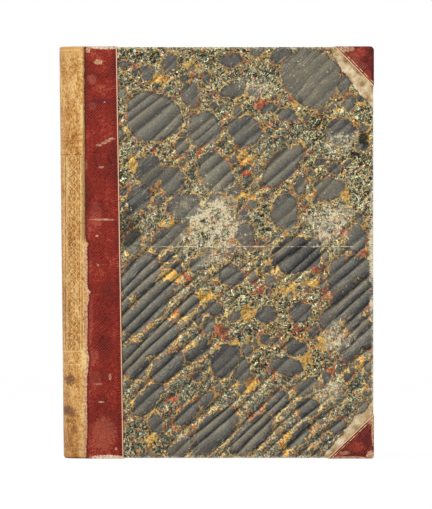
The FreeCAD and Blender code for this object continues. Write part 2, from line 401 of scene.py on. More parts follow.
def setStage():
    scene = bpy.context.scene
    lens = bpy.data.cameras.new("camera")
    eye = bpy.data.objects.new("camera", lens)
    scene.collection.objects.link(eye)
    lens.sensor_width = camera["sensor"]
    lens.lens = camera["sensor"] * camera["distance"] / (photo["height"] * photo["pixel"])
    lens.clip_end = 30
    eye.location = (
        placeX(photo["width"] / 2), -coverFace - camera["distance"], placeZ(photo["height"] / 2)
    )
    eye.rotation_euler = (math.radians(90), 0, 0)
    scene.camera = eye
    scene.view_settings.view_transform = "Standard"

    world = bpy.data.worlds.new("studio")
    world.use_nodes = True
    scene.world = world
    tree = world.node_tree
    sky = tree.nodes["Background"]
    sky.inputs["Color"].default_value = (1, 1, 1, 1)
    seen = makeNode(tree, "ShaderNodeLightPath")
    direct = most(tree, [seen.outputs["Is %s Ray" % kind] for kind in ("Camera", "Glossy", "Transmission")])
    strength = maths(tree, "MULTIPLY_ADD", direct, 1 - lights["ambient"], lights["ambient"])
    feed(tree, sky.inputs["Strength"], strength)

    for name, power, place in (
        ("key", lights["keyPower"], lights["keyPlace"]),
        ("fill", lights["fillPower"], lights["fillPlace"]),
    ):
        lamp = bpy.data.lights.new(name, "AREA")
        lamp.energy = power
        lamp.size = lights["lampSize"]
        holder = bpy.data.objects.new(name, lamp)
        holder.location = place
        aim = Vector((0, 0, bookHeight / 2)) - Vector(place)
        holder.rotation_euler = aim.to_track_quat("-Z", "Y").to_euler()
        scene.collection.objects.link(holder)

    mesh = bpy.data.meshes.new("floor")
    half = ground["half"]
    mesh.from_pydata(
        [(-half, -half, 0), (half, -half, 0), (half, half, 0), (-half, half, 0)], [], [(0, 1, 2, 3)]
    )
    floor = bpy.data.objects.new("floor", mesh)
    scene.collection.objects.link(floor)
    material, tree, shader = newMaterial("paleFloor", 0.9, 0.1)
    shader.inputs["Base Color"].default_value = (*(ground["grey"],) * 3, 1)
    glow = makeNode(tree, "ShaderNodeEmission")
    seen = makeNode(tree, "ShaderNodeLightPath")
    glow.inputs["Strength"].default_value = ground["glow"]
    share = times(tree, seen.outputs["Is Camera Ray"], ground["glowShare"])
    both = makeNode(tree, "ShaderNodeMixShader")
    feed(tree, both.inputs["Fac"], share)
    tree.links.new(shader.outputs[0], both.inputs[1])
    tree.links.new(glow.outputs[0], both.inputs[2])
    tree.links.new(both.outputs[0], tree.nodes["Material Output"].inputs["Surface"])
    mesh.materials.append(material)


setStage()
print("camera, floor and light set")


# Mesh helpers

def makePiece(name, points, faces, material, smooth=True):
    mesh = bpy.data.meshes.new(name)
    mesh.from_pydata([tuple(point) for point in points], [], faces)
    mesh.validate()
    if smooth:
        mesh.shade_smooth()
    mesh.materials.append(material)
    piece = bpy.data.objects.new(name, mesh)
    bpy.context.scene.collection.objects.link(piece)
    return piece


def gridFaces(rows, columns, keep=None):
    faces = []
    for row in range(rows - 1):
        for column in range(columns - 1):
            if keep is None or keep(row, column):
                first = row * columns + column
                faces.append((first, first + 1, first + columns + 1, first + columns))
    return faces


def giveNumbers(piece, name, values):
    made = piece.data.attributes.new(name, "FLOAT", "POINT")
    made.data.foreach_set("value", np.asarray(values, np.float32))


def dress(node, material):
    shown = frame["nodes"][node]
    shown.data.materials.clear()
    shown.data.materials.append(material)


# Marbled paper: stones of slate grey between veins and speckle, combed into slanting waves

marbling = {
    "slate": fromSrgb(102, 100, 93),
    "slateDark": fromSrgb(62, 61, 62),
    "olive": fromSrgb(130, 124, 103),
    "stoneWarm": fromSrgb(114, 104, 88),
    "stoneRim": fromSrgb(38, 42, 48),
    "speckDark": fromSrgb(10, 13, 9),
    "speckGreen": fromSrgb(70, 84, 62),
    "speckCream": fromSrgb(244, 236, 200),
    "speckTan": fromSrgb(216, 182, 116),
    "thread": fromSrgb(196, 192, 148),
    "yellow": fromSrgb(190, 144, 66),
    "yellowPale": fromSrgb(204, 168, 98),
    "orange": fromSrgb(180, 108, 68),
    "red": fromSrgb(140, 54, 42),
    "bare": fromSrgb(236, 222, 186),
    "bareDull": fromSrgb(168, 150, 114),
    "waveWidth": 8.2 * mm,
    "waveForce": 3.0,
    "waveDark": -0.26,
    "waveTop": 2.4,
    "waveTurn": math.radians(47),
    "step": 1.05 * mm,
    "bend": 0.45 * mm,
    "turnIn": 5.0 * mm,
    "lift": 0.27 * mm,
    "sideLap": 0.6 * mm,  # how far the sheet runs on under the side leather
    "cornerLap": 0.94,  # and under the corners, as a share of the way from the tip to their edge
    "drift": 1.6,  # how far the stones' rims wander, in pixels
    "smallStones": 110,
    "backWear": 0.35,  # share of the front's rubbing that the back sheet has
    "edgeWear": 0.95,
    "edgeWidth": 1.9 * mm,
}

# Stones of the front sheet: pixel column and row, half width, half height, tilt in degrees, and how pale
frontStones = [
    (171, 61, 10, 8, 0, 0.4), (283, 54, 12, 10, 0, 0.3), (311, 78, 28, 30, 20, 0.66),
    (345, 83, 8, 17, -25, 0.5), (154, 117, 26, 28, 30, 0.5), (203, 128, 18, 20, 10, 0.5),
    (246, 131, 17, 15, 0, 0.35), (147, 170, 15, 17, 0, 0.2), (140, 198, 14, 16, 0, 0.2),
    (173, 181, 13, 14, 0, 0.45), (216, 173, 17, 22, 10, 0.55), (185, 207, 17, 14, 0, 0.4),
    (283, 165, 28, 14, 42, 0.5), (342, 131, 15, 13, 0, 0.25), (286, 114, 11, 8, 0, 0.4),
    (296, 254, 28, 19, 24, 0), (286, 212, 14, 20, 0, 0.5), (246, 235, 11, 11, 0, 0.4),
    (224, 361, 15, 17, 0, 0.15), (244, 371, 10, 14, 0, 0.3), (266, 313, 13, 10, 0, 0.2),
    (301, 313, 13, 11, 0, 0.25), (266, 339, 7, 7, 0, 0.3), (297, 347, 11, 10, 0, 0.2),
    (286, 367, 17, 11, 0, 0.3), (216, 311, 8, 7, 0, 0.3), (232, 274, 14, 11, 0, 0.35),
    (171, 235, 10, 24, -48, 0.4), (308, 409, 13, 11, 0, 0.3), (154, 423, 8, 11, 0, 0.3),
    (330, 190, 15, 12, 30, 0.6), (358, 240, 12, 15, 0, 0.4), (340, 265, 12, 9, 40, 0.4),
    (338, 426, 12, 9, 40, 0.3), (182, 146, 8, 9, 0, 0.5), (190, 95, 10, 12, 0, 0.4),
    (232, 92, 14, 9, 20, 0.3), (135, 243, 9, 13, 0, 0.5), (200, 262, 15, 8, 46, 0.4),
    (306, 385, 14, 8, 46, 0.4), (350, 350, 14, 11, 30, 0.3), (148, 72, 9, 9, 0, 0.4),
    (230, 60, 12, 8, 0, 0.3), (140, 274, 25, 16, 46, 0.35), (152, 302, 28, 15, 46, 0.3),
    (132, 322, 15, 17, 46, 0.25), (160, 338, 27, 14, 46, 0.35), (134, 362, 17, 19, 46, 0.2),
    (168, 368, 22, 12, 46, 0.3), (190, 306, 13, 9, 46, 0.3), (196, 350, 15, 8, 46, 0.25),
    (148, 398, 20, 10, 46, 0.3), (346, 272, 24, 12, 46, 0.3), (352, 300, 26, 17, 46, 0.2),
    (362, 332, 14, 22, 40, 0.2), (330, 318, 14, 9, 46, 0.3), (364, 270, 10, 14, 30, 0.25),
    (216, 432, 34, 14, 46, 0.3), (250, 436, 30, 14, 46, 0.35), (188, 414, 18, 9, 46, 0.25),
    (276, 404, 15, 9, 46, 0.4), (300, 438, 16, 9, 46, 0.3), (180, 448, 18, 10, 46, 0.3),
    (206, 398, 13, 7, 46, 0.3),
]
# Pools of one colour: pixel column and row, half width, half height
yellowPools = [
    (159, 78, 7, 4), (131, 162, 5, 7), (171, 277, 9, 4), (207, 297, 9, 5), (246, 313, 6, 8),
    (256, 344, 8, 4), (311, 285, 9, 3), (304, 358, 4, 6), (251, 386, 8, 3), (286, 440, 4, 9),
    (147, 440, 7, 4), (359, 364, 4, 7), (361, 97, 3, 7), (246, 158, 5, 7), (240, 198, 8, 3),
    (190, 68, 5, 4), (232, 345, 5, 4), (322, 344, 4, 5), (150, 346, 6, 3), (290, 290, 8, 4),
    (170, 222, 8, 3), (212, 398, 6, 3), (346, 200, 4, 5), (296, 102, 5, 3), (141, 402, 5, 3),
]
redPools = [
    (246, 170, 4, 6), (342, 232, 4, 4), (221, 333, 4, 6), (288, 98, 3, 3), (262, 104, 4, 3),
    (200, 152, 4, 3), (186, 277, 4, 3), (318, 268, 4, 3), (232, 240, 3, 4), (262, 290, 4, 3),
    (170, 402, 3, 3), (300, 330, 3, 4), (150, 150, 3, 3), (330, 372, 3, 4), (212, 216, 3, 3),
]
# Where the waves show most, or least if below 0: pixel column and row, half width, half height, strength
wavePlaces = [
    (150, 320, 70, 100, 1.0), (260, 425, 110, 45, 1.0), (358, 310, 36, 80, 1.0),
    (296, 254, 40, 32, 1.0), (150, 118, 40, 40, 0.62), (250, 165, 70, 45, 0.62),
    (200, 130, 30, 30, 0.45), (305, 76, 42, 36, -0.34), (225, 70, 44, 22, -0.4),
    (234, 226, 44, 36, -0.4),
]
# Dark stains: pixel column and row, half width, half height, strength
sheetStains = [
    (129, 228, 12, 20, 0.6), (364, 139, 5, 8, 0.85), (354.5, 153.5, 5, 2.4, 0.9),
    (300, 100, 3, 4, 0.4), (232, 452, 8, 2, 0.4),
]
# Where the colour is rubbed off: pixel column and row, half width, half height, strength
rubbedPlaces = [
    (214, 226, 38, 42, 1.1), (331, 224, 24, 26, 0.95), (342, 142, 20, 15, 0.9), (339, 339, 17, 18, 0.9),
    (331, 389, 19, 13, 0.9), (258, 86, 22, 16, 0.7), (182, 437, 8, 7, 0.7), (373, 250, 4, 70, 1.5),
    (206, 176, 14, 10, 0.4), (300, 240, 50, 5, 0.35), (250, 246.6, 90, 1.2, 0.6), (300, 70, 24, 14, 0.35),
    (196, 95, 16, 10, 0.3), (180, 452, 50, 5, 0.35), (250, 49, 80, 3, 0.4), (355, 420, 10, 16, 0.5),
]
scratchRow = 246.6  # pixel row of the long scratch
# Lines beside the corner leathers along which the paper is torn away: pixel columns and rows
headTear = [
    (318, 44), (322, 47.6), (332, 53.4), (340, 67), (350.5, 81.5), (356, 89.5), (363, 97), (376, 111),
]
tailTear = [
    (376, 396), (372, 400), (365, 411.5), (354, 416), (349, 426), (343.6, 431), (339.7, 437.6),
    (319, 461),
]


def shapeField(columns, rows, ovals):
    # for each point the nearest oval's distance inside its rim, in pixels, and the next one's
    best = np.full(columns.shape, -1e3)
    following = np.full(columns.shape, -1e3)
    which = np.zeros(columns.shape, int)
    for number, oval in enumerate(ovals):
        middleX, middleY, halfX, halfY = oval[:4]
        tilt = math.radians(oval[4]) if len(oval) > 4 else 0.0
        across = (columns - middleX) * math.cos(tilt) - (rows - middleY) * math.sin(tilt)
        along = (columns - middleX) * math.sin(tilt) + (rows - middleY) * math.cos(tilt)
        ratio = np.sqrt((across / halfX) ** 2 + (along / halfY) ** 2)
        inside = (1 - ratio) * min(halfX, halfY)
        nearer = inside > best
        following = np.where(nearer, best, np.maximum(following, inside))
        which = np.where(nearer, number, which)
        best = np.maximum(best, inside)
    return best, following, which


def wobble(columns, rows, size, amount, phase):
    # smooth hand-like wandering of the pattern, built from a few slanted sine waves
    total = np.zeros(columns.shape)
    for turn, rate in ((0.3, 1.0), (1.4, 1.7), (2.5, 2.6), (4.0, 3.9)):
        along = columns * math.cos(turn + phase) + rows * math.sin(turn + phase)
        total += np.sin(along * rate / size + 5 * turn + phase) / rate
    return total * amount


def scatterStones(source, placed, count, low, high):
    # small stones in the room that the placed ones leave
    stones = list(placed)
    for attempt in range(4000):  # gives up then, with fewer of them
        if len(stones) == len(placed) + count:
            break
        middleX = source.uniform(118, 376)
        middleY = source.uniform(44, 460)
        half = source.uniform(low, high)
        clear = all(
            math.hypot(middleX - stone[0], middleY - stone[1]) > 0.8 * max(stone[2], stone[3]) + half
            for stone in stones
        )
        if clear:
            tilt = source.uniform(0, 90)
            halfX = half * source.uniform(0.9, 1.5)
            stones.append((middleX, middleY, halfX, half, tilt, source.uniform(0.1, 0.7)))
    return stones


def distancePast(columns, rows, line):
    # distance past a broken line, positive on its left as the line runs up the picture's rows
    nearest = np.full(columns.shape, 1e3)
    sign = np.ones(columns.shape)
    for (x1, y1), (x2, y2) in zip(line, line[1:]):
        dx, dy = x2 - x1, y2 - y1
        along = np.clip(((columns - x1) * dx + (rows - y1) * dy) / (dx * dx + dy * dy), 0, 1)
        apart = np.hypot(columns - x1 - along * dx, rows - y1 - along * dy)
        cross = (columns - x1) * dy - (rows - y1) * dx
        nearer = apart < nearest
        sign = np.where(nearer, np.sign(cross), sign)
        nearest = np.minimum(nearest, apart)
    return nearest * sign


def waveBands(tree, place, placed):
    # straight bands that darken towards the lower right and start again
    turned = scaled(tree, strayed(tree, place, 60 * mm, 6 * mm), (1, 1, 1), (0, -marbling["waveTurn"], 0))
    drawn = scaled(tree, turned, (1, 1, 0.16))  # stretched along the bands
    run = times(tree, axes(tree, turned)["X"], 1 / marbling["waveWidth"])
    run = maths(tree, "MULTIPLY_ADD", noise(tree, drawn, 19 * mm, 0.5, 0.5), 2.0, run)
    saw = maths(tree, "FRACT", run)
    wave = maths(tree, "SUBTRACT", ease(tree, saw, 0.0, 0.26), saw)
    force = ease(tree, noise(tree, drawn, 20 * mm, 1, 0.5), 0.36, 0.58)
    force = maths(tree, "MULTIPLY_ADD", force, 0.40, 0.14)
    calm = maths(tree, "MINIMUM", placed, 0.0)
    force = maths(tree, "ADD", maths(tree, "MAXIMUM", force, placed), calm, clamp=True)
    brushed = noise(tree, scaled(tree, turned, (1, 1, 0.10)), 0.9 * mm, 3, 0.7)
    shade = maths(tree, "MULTIPLY_ADD", wave, marbling["waveForce"], marbling["waveDark"])
    shade = maths(tree, "MULTIPLY_ADD", brushed, 0.8, shade)
    shade = colours(
        tree,
        times(tree, shade, 1 / marbling["waveTop"]),
        [(0.0, (0.05, 0.055, 0.07, 1)), (0.42, (0.98, 1.0, 1.04, 1)), (1.0, (2.5, 2.4, 2.05, 1))],
    )
    return turned, drawn, shade, force


def stoneBody(tree, drawn, tone, broad, ragged):
    # dark to olive, with warmer streaks along the waves
    depth = maths(tree, "MULTIPLY_ADD", tone, 0.6, times(tree, broad, 0.45))
    depth = maths(tree, "MULTIPLY_ADD", ragged, 0.9, depth)
    body = colours(
        tree, depth, [(0.15, marbling["slateDark"]), (0.5, marbling["slate"]), (0.85, marbling["olive"])]
    )
    warmed = ease(tree, noise(tree, drawn, 8 * mm, 2, 0.6), 0.46, 0.62)
    return mixColour(tree, times(tree, warmed, 0.34), body, marbling["stoneWarm"])


def speckleBetween(tree, place, curled, wander, placed, broad, ragged):
    # pale and green drops run together over dark gaps, flatter where waves are placed
    speckle = colours(
        tree,
        maths(tree, "MULTIPLY_ADD", broad, 0.3, noise(tree, curled, 2.5 * mm, 3, 0.7, 0.6)),
        [(0.50, marbling["speckDark"]), (0.60, marbling["speckGreen"]), (0.72, marbling["olive"]),
         (0.80, marbling["speckDark"])],
    )
    paleDrops = ease(tree, noise(tree, curled, 2.2 * mm, 2, 0.7, 0.9), 0.56, 0.61)
    threads = maths(tree, "MULTIPLY_ADD", ragged, 0.35, cells(tree, curled, 3.6 * mm, "DISTANCE_TO_EDGE"))
    threads = times(tree, ease(tree, threads, 0.12, 0.04), ease(tree, broad, 0.36, 0.56), 0.72)
    warm = ease(tree, noise(tree, place, 5 * mm, 2, 0.6), 0.50, 0.66)
    dropColour = mixColour(tree, warm, marbling["speckCream"], marbling["speckTan"])
    speckle = mixColour(tree, paleDrops, speckle, dropColour)
    threadColour = mixColour(tree, warm, marbling["thread"], marbling["speckTan"])
    speckle = mixColour(tree, threads, speckle, threadColour)
    pits = ease(tree, noise(tree, wander, 2.2 * mm, 2, 0.7, 0.9), 0.52, 0.57)
    speckle = mixColour(tree, times(tree, pits, 0.96), speckle, marbling["speckDark"])
    return mixColour(tree, times(tree, placed, 0.54), speckle, marbling["slate"])


def rubbedAway(tree, colour, place, rubbed, fine):
    # the colour goes in streaks and specks, down to the bare paper
    level = noise(tree, scaled(tree, place, (0.30, 1, 1.2)), 1.9 * mm, 3, 0.75)
    upright = noise(tree, scaled(tree, place, (1.2, 1, 0.4)), 1.9 * mm, 3, 0.75)
    streaky = maths(tree, "MAXIMUM", level, upright)
    clumps = maths(tree, "SUBTRACT", noise(tree, place, 6 * mm, 3, 0.65, 0.8), 0.5)
    specks = maths(tree, "SUBTRACT", noise(tree, place, 2.0 * mm, 3, 0.75, 0.8), 0.5)
    uneven = noise(tree, place, 13 * mm, 4, 0.6)
    pitted = makeNode(tree, "ShaderNodeSeparateColor")
    feed(tree, pitted.inputs[0], cells(tree, place, 1.0 * mm, "F1", "Color"))
    loss = times(tree, streaky, 1.15)
    for part, strength in (
        (pitted.outputs[1], 0.16), (clumps, 0.75), (specks, 1.5),
        (times(tree, rubbed, maths(tree, "ADD", uneven, 0.5)), 0.40),
    ):
        loss = maths(tree, "MULTIPLY_ADD", part, strength, loss)
    stray = ease(tree, noise(tree, place, 1.0 * mm, 2, 0.8), 0.70, 0.78)
    bareShare = maths(tree, "MAXIMUM", ease(tree, loss, 1.06, 1.24), times(tree, stray, 0.6))
    bareColour = mixColour(tree, ease(tree, fine, 0.30, 0.52), marbling["bareDull"], marbling["bare"])
    brushedOff = ease(tree, streaky, 0.44, 0.62)
    thinned = times(tree, ease(tree, rubbed, 0.10, 1.1), ease(tree, uneven, 0.36, 0.60), brushedOff, 0.5)
    colour = mixColour(tree, thinned, colour, marbling["bare"])
    colour = mixColour(tree, times(tree, bareShare, 0.86), colour, bareColour)
    scratch = times(
        tree, near(tree, axes(tree, place)["Z"], placeZ(scratchRow), 0.30 * mm),
        ease(tree, rubbed, 0.12, 0.35), ease(tree, noise(tree, place, 7 * mm, 3, 0.7), 0.46, 0.60), 0.8,
    )
    return mixColour(tree, scratch, colour, marbling["bare"]), bareShare


def tornAway(tree, colour, place, torn, ragged):
    # the surface torn off by the corners, so that the paper's own colour shows, and painted shade as a dark
    # outline along the torn edge
    swerve = maths(tree, "SUBTRACT", noise(tree, place, 8 * mm, 3, 0.6), 0.5)
    edge = maths(tree, "MULTIPLY_ADD", swerve, 9.0, torn)
    edge = maths(tree, "MULTIPLY_ADD", ragged, 3.0, edge)
    share = ease(tree, edge, -0.6, 0.4)
    under = colours(
        tree, maths(tree, "MULTIPLY_ADD", ragged, 0.22, noise(tree, place, 8 * mm, 4, 0.6)),
        [(0.34, fromSrgb(112, 90, 62)), (0.48, fromSrgb(192, 162, 118)), (0.66, fromSrgb(238, 222, 188))],
    )
    # painted shade along the torn edge
    outline = times(tree, near(tree, edge, -0.4, 0.7), 0.6)
    return mixColour(tree, outline, mixColour(tree, share, colour, under), marbling["stoneRim"]), share


def marbledMaterial():
    material, tree, shader = newMaterial("marbledPaper", 0.62, 0.12)
    place = objectPlace(tree)
    stone, rubbed, placed = [pickUp(tree, name) for name in ("stone", "rubbed", "waves")]
    fine = noise(tree, place, 1.4 * mm, 4, 0.7)
    broad = noise(tree, place, 14 * mm, 3, 0.55)
    ragged = maths(tree, "SUBTRACT", fine, 0.5)
    wander = strayed(tree, strayed(tree, place, 9 * mm, 5.0 * mm), 3 * mm, 1.8 * mm)
    curled = strayed(tree, place, 3 * mm, 2.4 * mm)
    turned, drawn, waveShade, force = waveBands(tree, place, placed)

    # a stone's rim wanders: rim is the depth inside it in pixels, outward the smoother distance past it
    sway = maths(tree, "SUBTRACT", noise(tree, place, 4.2 * mm, 3, 0.6), 0.5)
    outward = maths(tree, "MULTIPLY_ADD", sway, 11.0, times(tree, stone, -1.0))
    rim = maths(tree, "SUBTRACT", times(tree, ragged, 7.0), outward)
    inStone = ease(tree, rim, -1.4, 1.4)
    darkRim = times(tree, near(tree, rim, 1.4, 1.3), ease(tree, broad, 0.36, 0.56), 0.6)
    body = stoneBody(tree, drawn, pickUp(tree, "tone"), broad, ragged)
    body = mixColour(tree, darkRim, body, marbling["stoneRim"])
    speckle = speckleBetween(tree, place, curled, wander, placed, broad, ragged)
    colour = mixColour(tree, inStone, speckle, body)

    # veins: strands of colour that run side by side round the stones, and as lace in the speckle
    hue = noise(tree, place, 9 * mm, 3, 0.6)
    veinColour = colours(
        tree,
        hue,
        [(0.34, marbling["red"]), (0.41, marbling["orange"]), (0.47, marbling["yellow"]),
         (0.56, marbling["yellowPale"]), (0.68, marbling["speckTan"])],
    )
    patches = noise(tree, place, 11 * mm, 3, 0.6)
    present = ease(tree, patches, 0.36, 0.46)
    broken = ease(tree, noise(tree, place, 2.2 * mm, 3, 0.7), 0.34, 0.46)
    crack = maths(tree, "ABSOLUTE", maths(tree, "MULTIPLY_ADD", sway, 4.0, pickUp(tree, "gap")))
    crack = ease(tree, crack, 0.9, 0.3)
    lace = cells(tree, wander, 7.5 * mm, "DISTANCE_TO_EDGE")
    lace = maths(tree, "MULTIPLY_ADD", ragged, 0.16, lace)
    netting = times(tree, ease(tree, lace, 0.055, 0.015), ease(tree, patches, 0.47, 0.56))
    inner = near(tree, outward, 0.6, 0.50)
    outer = maths(tree, "MAXIMUM", near(tree, outward, 2.6, 0.5), near(tree, outward, 4.4, 0.42))
    outside = ease(tree, rim, 3.0, 1.0)
    veins = times(tree, most(tree, (inner, crack, netting)), present, broken, outside, 0.9)
    colour = mixColour(tree, veins, colour, veinColour)
    absent = maths(tree, "SUBTRACT", 1.15, present, clamp=True)
    strands = times(tree, outer, absent, broken, outside, 0.5)
    strandColour = mixColour(tree, ease(tree, hue, 0.42, 0.56), marbling["orange"], marbling["speckTan"])
    colour = mixColour(tree, strands, colour, strandColour)

    # pools of yellow and red, run out along the lace
    streaks = ease(tree, noise(tree, curled, 2.4 * mm, 3, 0.7), 0.42, 0.60)
    for pool, second, reach in (("yellow", "yellowPale", -0.34), ("red", "orange", -0.26)):
        spread = maths(tree, "MULTIPLY_ADD", pickUp(tree, pool), reach, lace)
        spread = maths(tree, "MULTIPLY_ADD", sway, 0.45, spread)
        share = times(tree, ease(tree, spread, 0.0, -0.05), ease(tree, stone, 3.0, 1.0), 0.9)
        poolColour = mixColour(tree, streaks, marbling[pool], marbling[second])
        colour = mixColour(tree, share, colour, poolColour)

    # the waves run over everything, strongest on the stones
    waveShare = times(tree, force, maths(tree, "MULTIPLY_ADD", inStone, 0.15, 0.85))
    colour = mixColour(tree, waveShare, colour, mixColour(tree, 1.0, colour, waveShade, "MULTIPLY"))

    # grit, fine scratches along the waves, wear, stains and the torn edge
    grit = noise(tree, place, 1.6 * mm, 4, 0.8)
    grit = colours(tree, grit, [(0.41, (0.30, 0.30, 0.30, 1)), (0.57, (1.5, 1.5, 1.5, 1))])
    gritShare = maths(tree, "MULTIPLY_ADD", inStone, -0.62, 0.90)
    colour = mixColour(tree, gritShare, colour, mixColour(tree, 1.0, colour, grit, "MULTIPLY"))
    dusting = ease(tree, noise(tree, place, 50 * mm, 2, 0.5), 0.40, 0.62)
    dusting = maths(tree, "MULTIPLY_ADD", dusting, 0.26, 0.08)
    scratches = noise(tree, scaled(tree, turned, (1.2, 1, 0.10)), 0.9 * mm, 2, 0.8)
    scratches = times(tree, ease(tree, scratches, 0.56, 0.70), dusting)
    colour = mixColour(tree, scratches, colour, marbling["bare"])
    colour, bareShare = rubbedAway(tree, colour, place, rubbed, fine)
    for *oval, strength in sheetStains:
        stain = ovalMark(tree, place, oval, 2.2)
        colour = mixColour(tree, times(tree, stain, strength), colour, marbling["speckDark"])
    colour, tornShare = tornAway(tree, colour, place, pickUp(tree, "torn"), ragged)

    feed(tree, shader.inputs["Base Color"], colour)
    paper = useGroup(tree, fibre, Vector=place)
    height = maths(tree, "MULTIPLY_ADD", bareShare, -0.6, paper["Height"])
    height = maths(tree, "MULTIPLY_ADD", tornShare, -2.0, height)
    bump(tree, shader, height, 0.12 * mm)
    rough = maths(tree, "MULTIPLY_ADD", bareShare, 0.25, 0.55)
    feed(tree, shader.inputs["Roughness"], maths(tree, "MULTIPLY_ADD", tornShare, 0.2, rough))
    return material


def foldPlace(flat, low, high, outer, inner, bend):
    # folds one flat measure round a board's edge: how far along the face, and the depth behind it
    past = max(flat - high, low - flat, 0.0)
    edge = high if flat > high else low
    sign = 1 if flat > high else -1
    if past == 0:
        return flat, outer
    arc = bend * math.pi / 2
    if past < arc:
        turn = past / bend
        return edge + sign * bend * math.sin(turn), outer - bend * (1 - math.cos(turn))
    across = edge + sign * bend
    straight = (outer - bend) - (inner + bend)
    past -= arc
    if past < straight:
        return across, outer - bend - past
    past -= straight
    if past < arc:
        turn = past / bend
        return edge + sign * bend * math.cos(turn), inner + bend * (1 - math.sin(turn))
    past -= arc
    return edge - sign * past, inner


def foldLength(outer, inner, bend, turnIn):
    return bend * math.pi + (outer - inner - 2 * bend) + turnIn


def spacedLines(low, high, step, extra):
    count = max(2, int(round((high - low) / step)) + 1)
    lines = set(np.round(np.linspace(low, high, count), 6))
    lines |= {round(value, 6) for value in extra if low < value < high}
    return sorted(lines)


# Edges of the leathers on a cover, from the CAD pieces: how far the side leather reaches at tail and head
sideTail = skinHigh[0]
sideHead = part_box("front_marbled_paper")[0][0]
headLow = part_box("front_head_corner")[0]
tailLow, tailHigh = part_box("front_tail_corner")


def makeMarbledSheet(side):
    # side is -1 for the front cover and +1 for the back, where the pattern's layout is upside down
    name = "front_marbled_sheet" if side < 0 else "back_marbled_sheet"
    bend, lift = marbling["bend"], marbling["lift"]
    outer, inner = boardFace + lift, boardInside - lift
    low, high = boardLow[2] - lift + bend, boardHigh[2] + lift - bend
    right = boardHigh[0] + lift - bend
    wrap = foldLength(outer, inner, bend, marbling["turnIn"])
    left = min(sideHead, sideTail) - 1.0 * mm
    arcs = [bend * math.pi / 4, bend * math.pi / 2, wrap - marbling["turnIn"]]
    across = spacedLines(left, right + wrap, marbling["step"], [right] + [right + arc for arc in arcs])
    folds = [low, high] + [low - arc for arc in arcs] + [high + arc for arc in arcs]
    up = spacedLines(low - wrap, high + wrap, marbling["step"], folds)
    points, flatX, flatZ = [], [], []
    for z in up:
        foldedZ, depthZ = foldPlace(z, low, high, outer, inner, bend)
        for x in across:
            foldedX, depthX = foldPlace(x, -1.0, right, outer, inner, bend)
            points.append((foldedX, side * min(depthZ, depthX), foldedZ))
            flatX.append(x)
            flatZ.append(z)
    flatX, flatZ = np.array(flatX), np.array(flatZ)
    slope = (sideHead - sideTail) / bookHeight

    def keep(row, column):
        x, z = across[column], up[row]
        nextX, nextZ = across[column + 1], up[row + 1]
        outOfCorner = (z >= low and nextZ <= high) or nextX <= right
        pastSide = nextX > sideTail + slope * min(max(z, 0), bookHeight) - marbling["sideLap"]
        fromHead = (coverEnd - x) / (coverEnd - headLow[0]) + (bookHeight - z) / (bookHeight - headLow[2])
        fromTail = (coverEnd - x) / (coverEnd - tailLow[0]) + nextZ / tailHigh[2]
        return outOfCorner and pastSide and min(fromHead, fromTail) > marbling["cornerLap"]

    faces = gridFaces(len(up), len(across), keep)
    if side > 0:
        faces = [face[::-1] for face in faces]
    piece = makePiece(name, points, faces, marbledPaper)

    # places on the sheet in the photograph's pixels, and where the pattern is looked up
    pixelX = photo["foreEdge"] + (flatX - coverEnd) / photo["pixel"]
    rowY = photo["tail"] - flatZ / photo["pixel"]
    pixelY = rowY if side < 0 else photo["tail"] + photo["head"] - rowY
    driftX = pixelX + wobble(pixelX, pixelY, 14, marbling["drift"], 0.4)
    driftY = pixelY + wobble(pixelX, pixelY, 13, marbling["drift"], 2.1)
    best, following, which = shapeField(driftX, driftY, stones)
    tones = np.array([stone[5] for stone in stones])
    giveNumbers(piece, "stone", np.clip(best, -20, 20))
    giveNumbers(piece, "gap", np.clip(best - following, 0, 20) + np.where(best < -5, 6, 0))
    giveNumbers(piece, "tone", tones[which])
    for label, pools in (("yellow", yellowPools), ("red", redPools)):
        giveNumbers(piece, label, np.clip(0.55 + shapeField(driftX, driftY, pools)[0] / 7, 0, 1))
    wear = np.zeros(len(points))
    for middleX, middleY, halfX, halfY, force in rubbedPlaces:
        ratio = np.hypot((pixelX - middleX) / halfX, (pixelY - middleY) / halfY)
        ratio += wobble(pixelX, pixelY, 5, 0.14, middleX)
        force *= marbling["backWear"] if side > 0 else 1.0
        wear = np.maximum(wear, force * np.clip(1.35 - ratio, 0, 1))
    fromFold = np.abs(np.minimum(np.minimum(flatZ - low, high - flatZ), right - flatX))
    edgeWear = marbling["edgeWear"] * np.clip(1 - fromFold / marbling["edgeWidth"], 0, 1)
    giveNumbers(piece, "rubbed", np.maximum(wear, edgeWear))
    waves = np.zeros(len(points))
    for middleX, middleY, halfX, halfY, force in wavePlaces:
        ratio = np.hypot((driftX - middleX) / halfX, (driftY - middleY) / halfY)
        reach = force * np.clip(1.6 - 1.2 * ratio, 0, 1)
        waves = np.maximum(waves, reach) if force > 0 else waves + reach
    giveNumbers(piece, "waves", waves)
    torn = np.maximum(distancePast(pixelX, rowY, headTear), distancePast(pixelX, rowY, tailTear))
    giveNumbers(piece, "torn", np.clip(torn, -10, 10))
    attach(piece, "front_cover" if side < 0 else "back_cover")
    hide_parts("front_marbled_paper" if side < 0 else "back_marbled_paper")


marbledPaper = marbledMaterial()
stones = scatterStones(random.Random(seed), frontStones, marbling["smallStones"], 2.5, 7)
makeMarbledSheet(-1)
makeMarbledSheet(1)
print("marbled sheets made")


# Red leather on the covers: straight grain, gilt line at its edge, scuffs

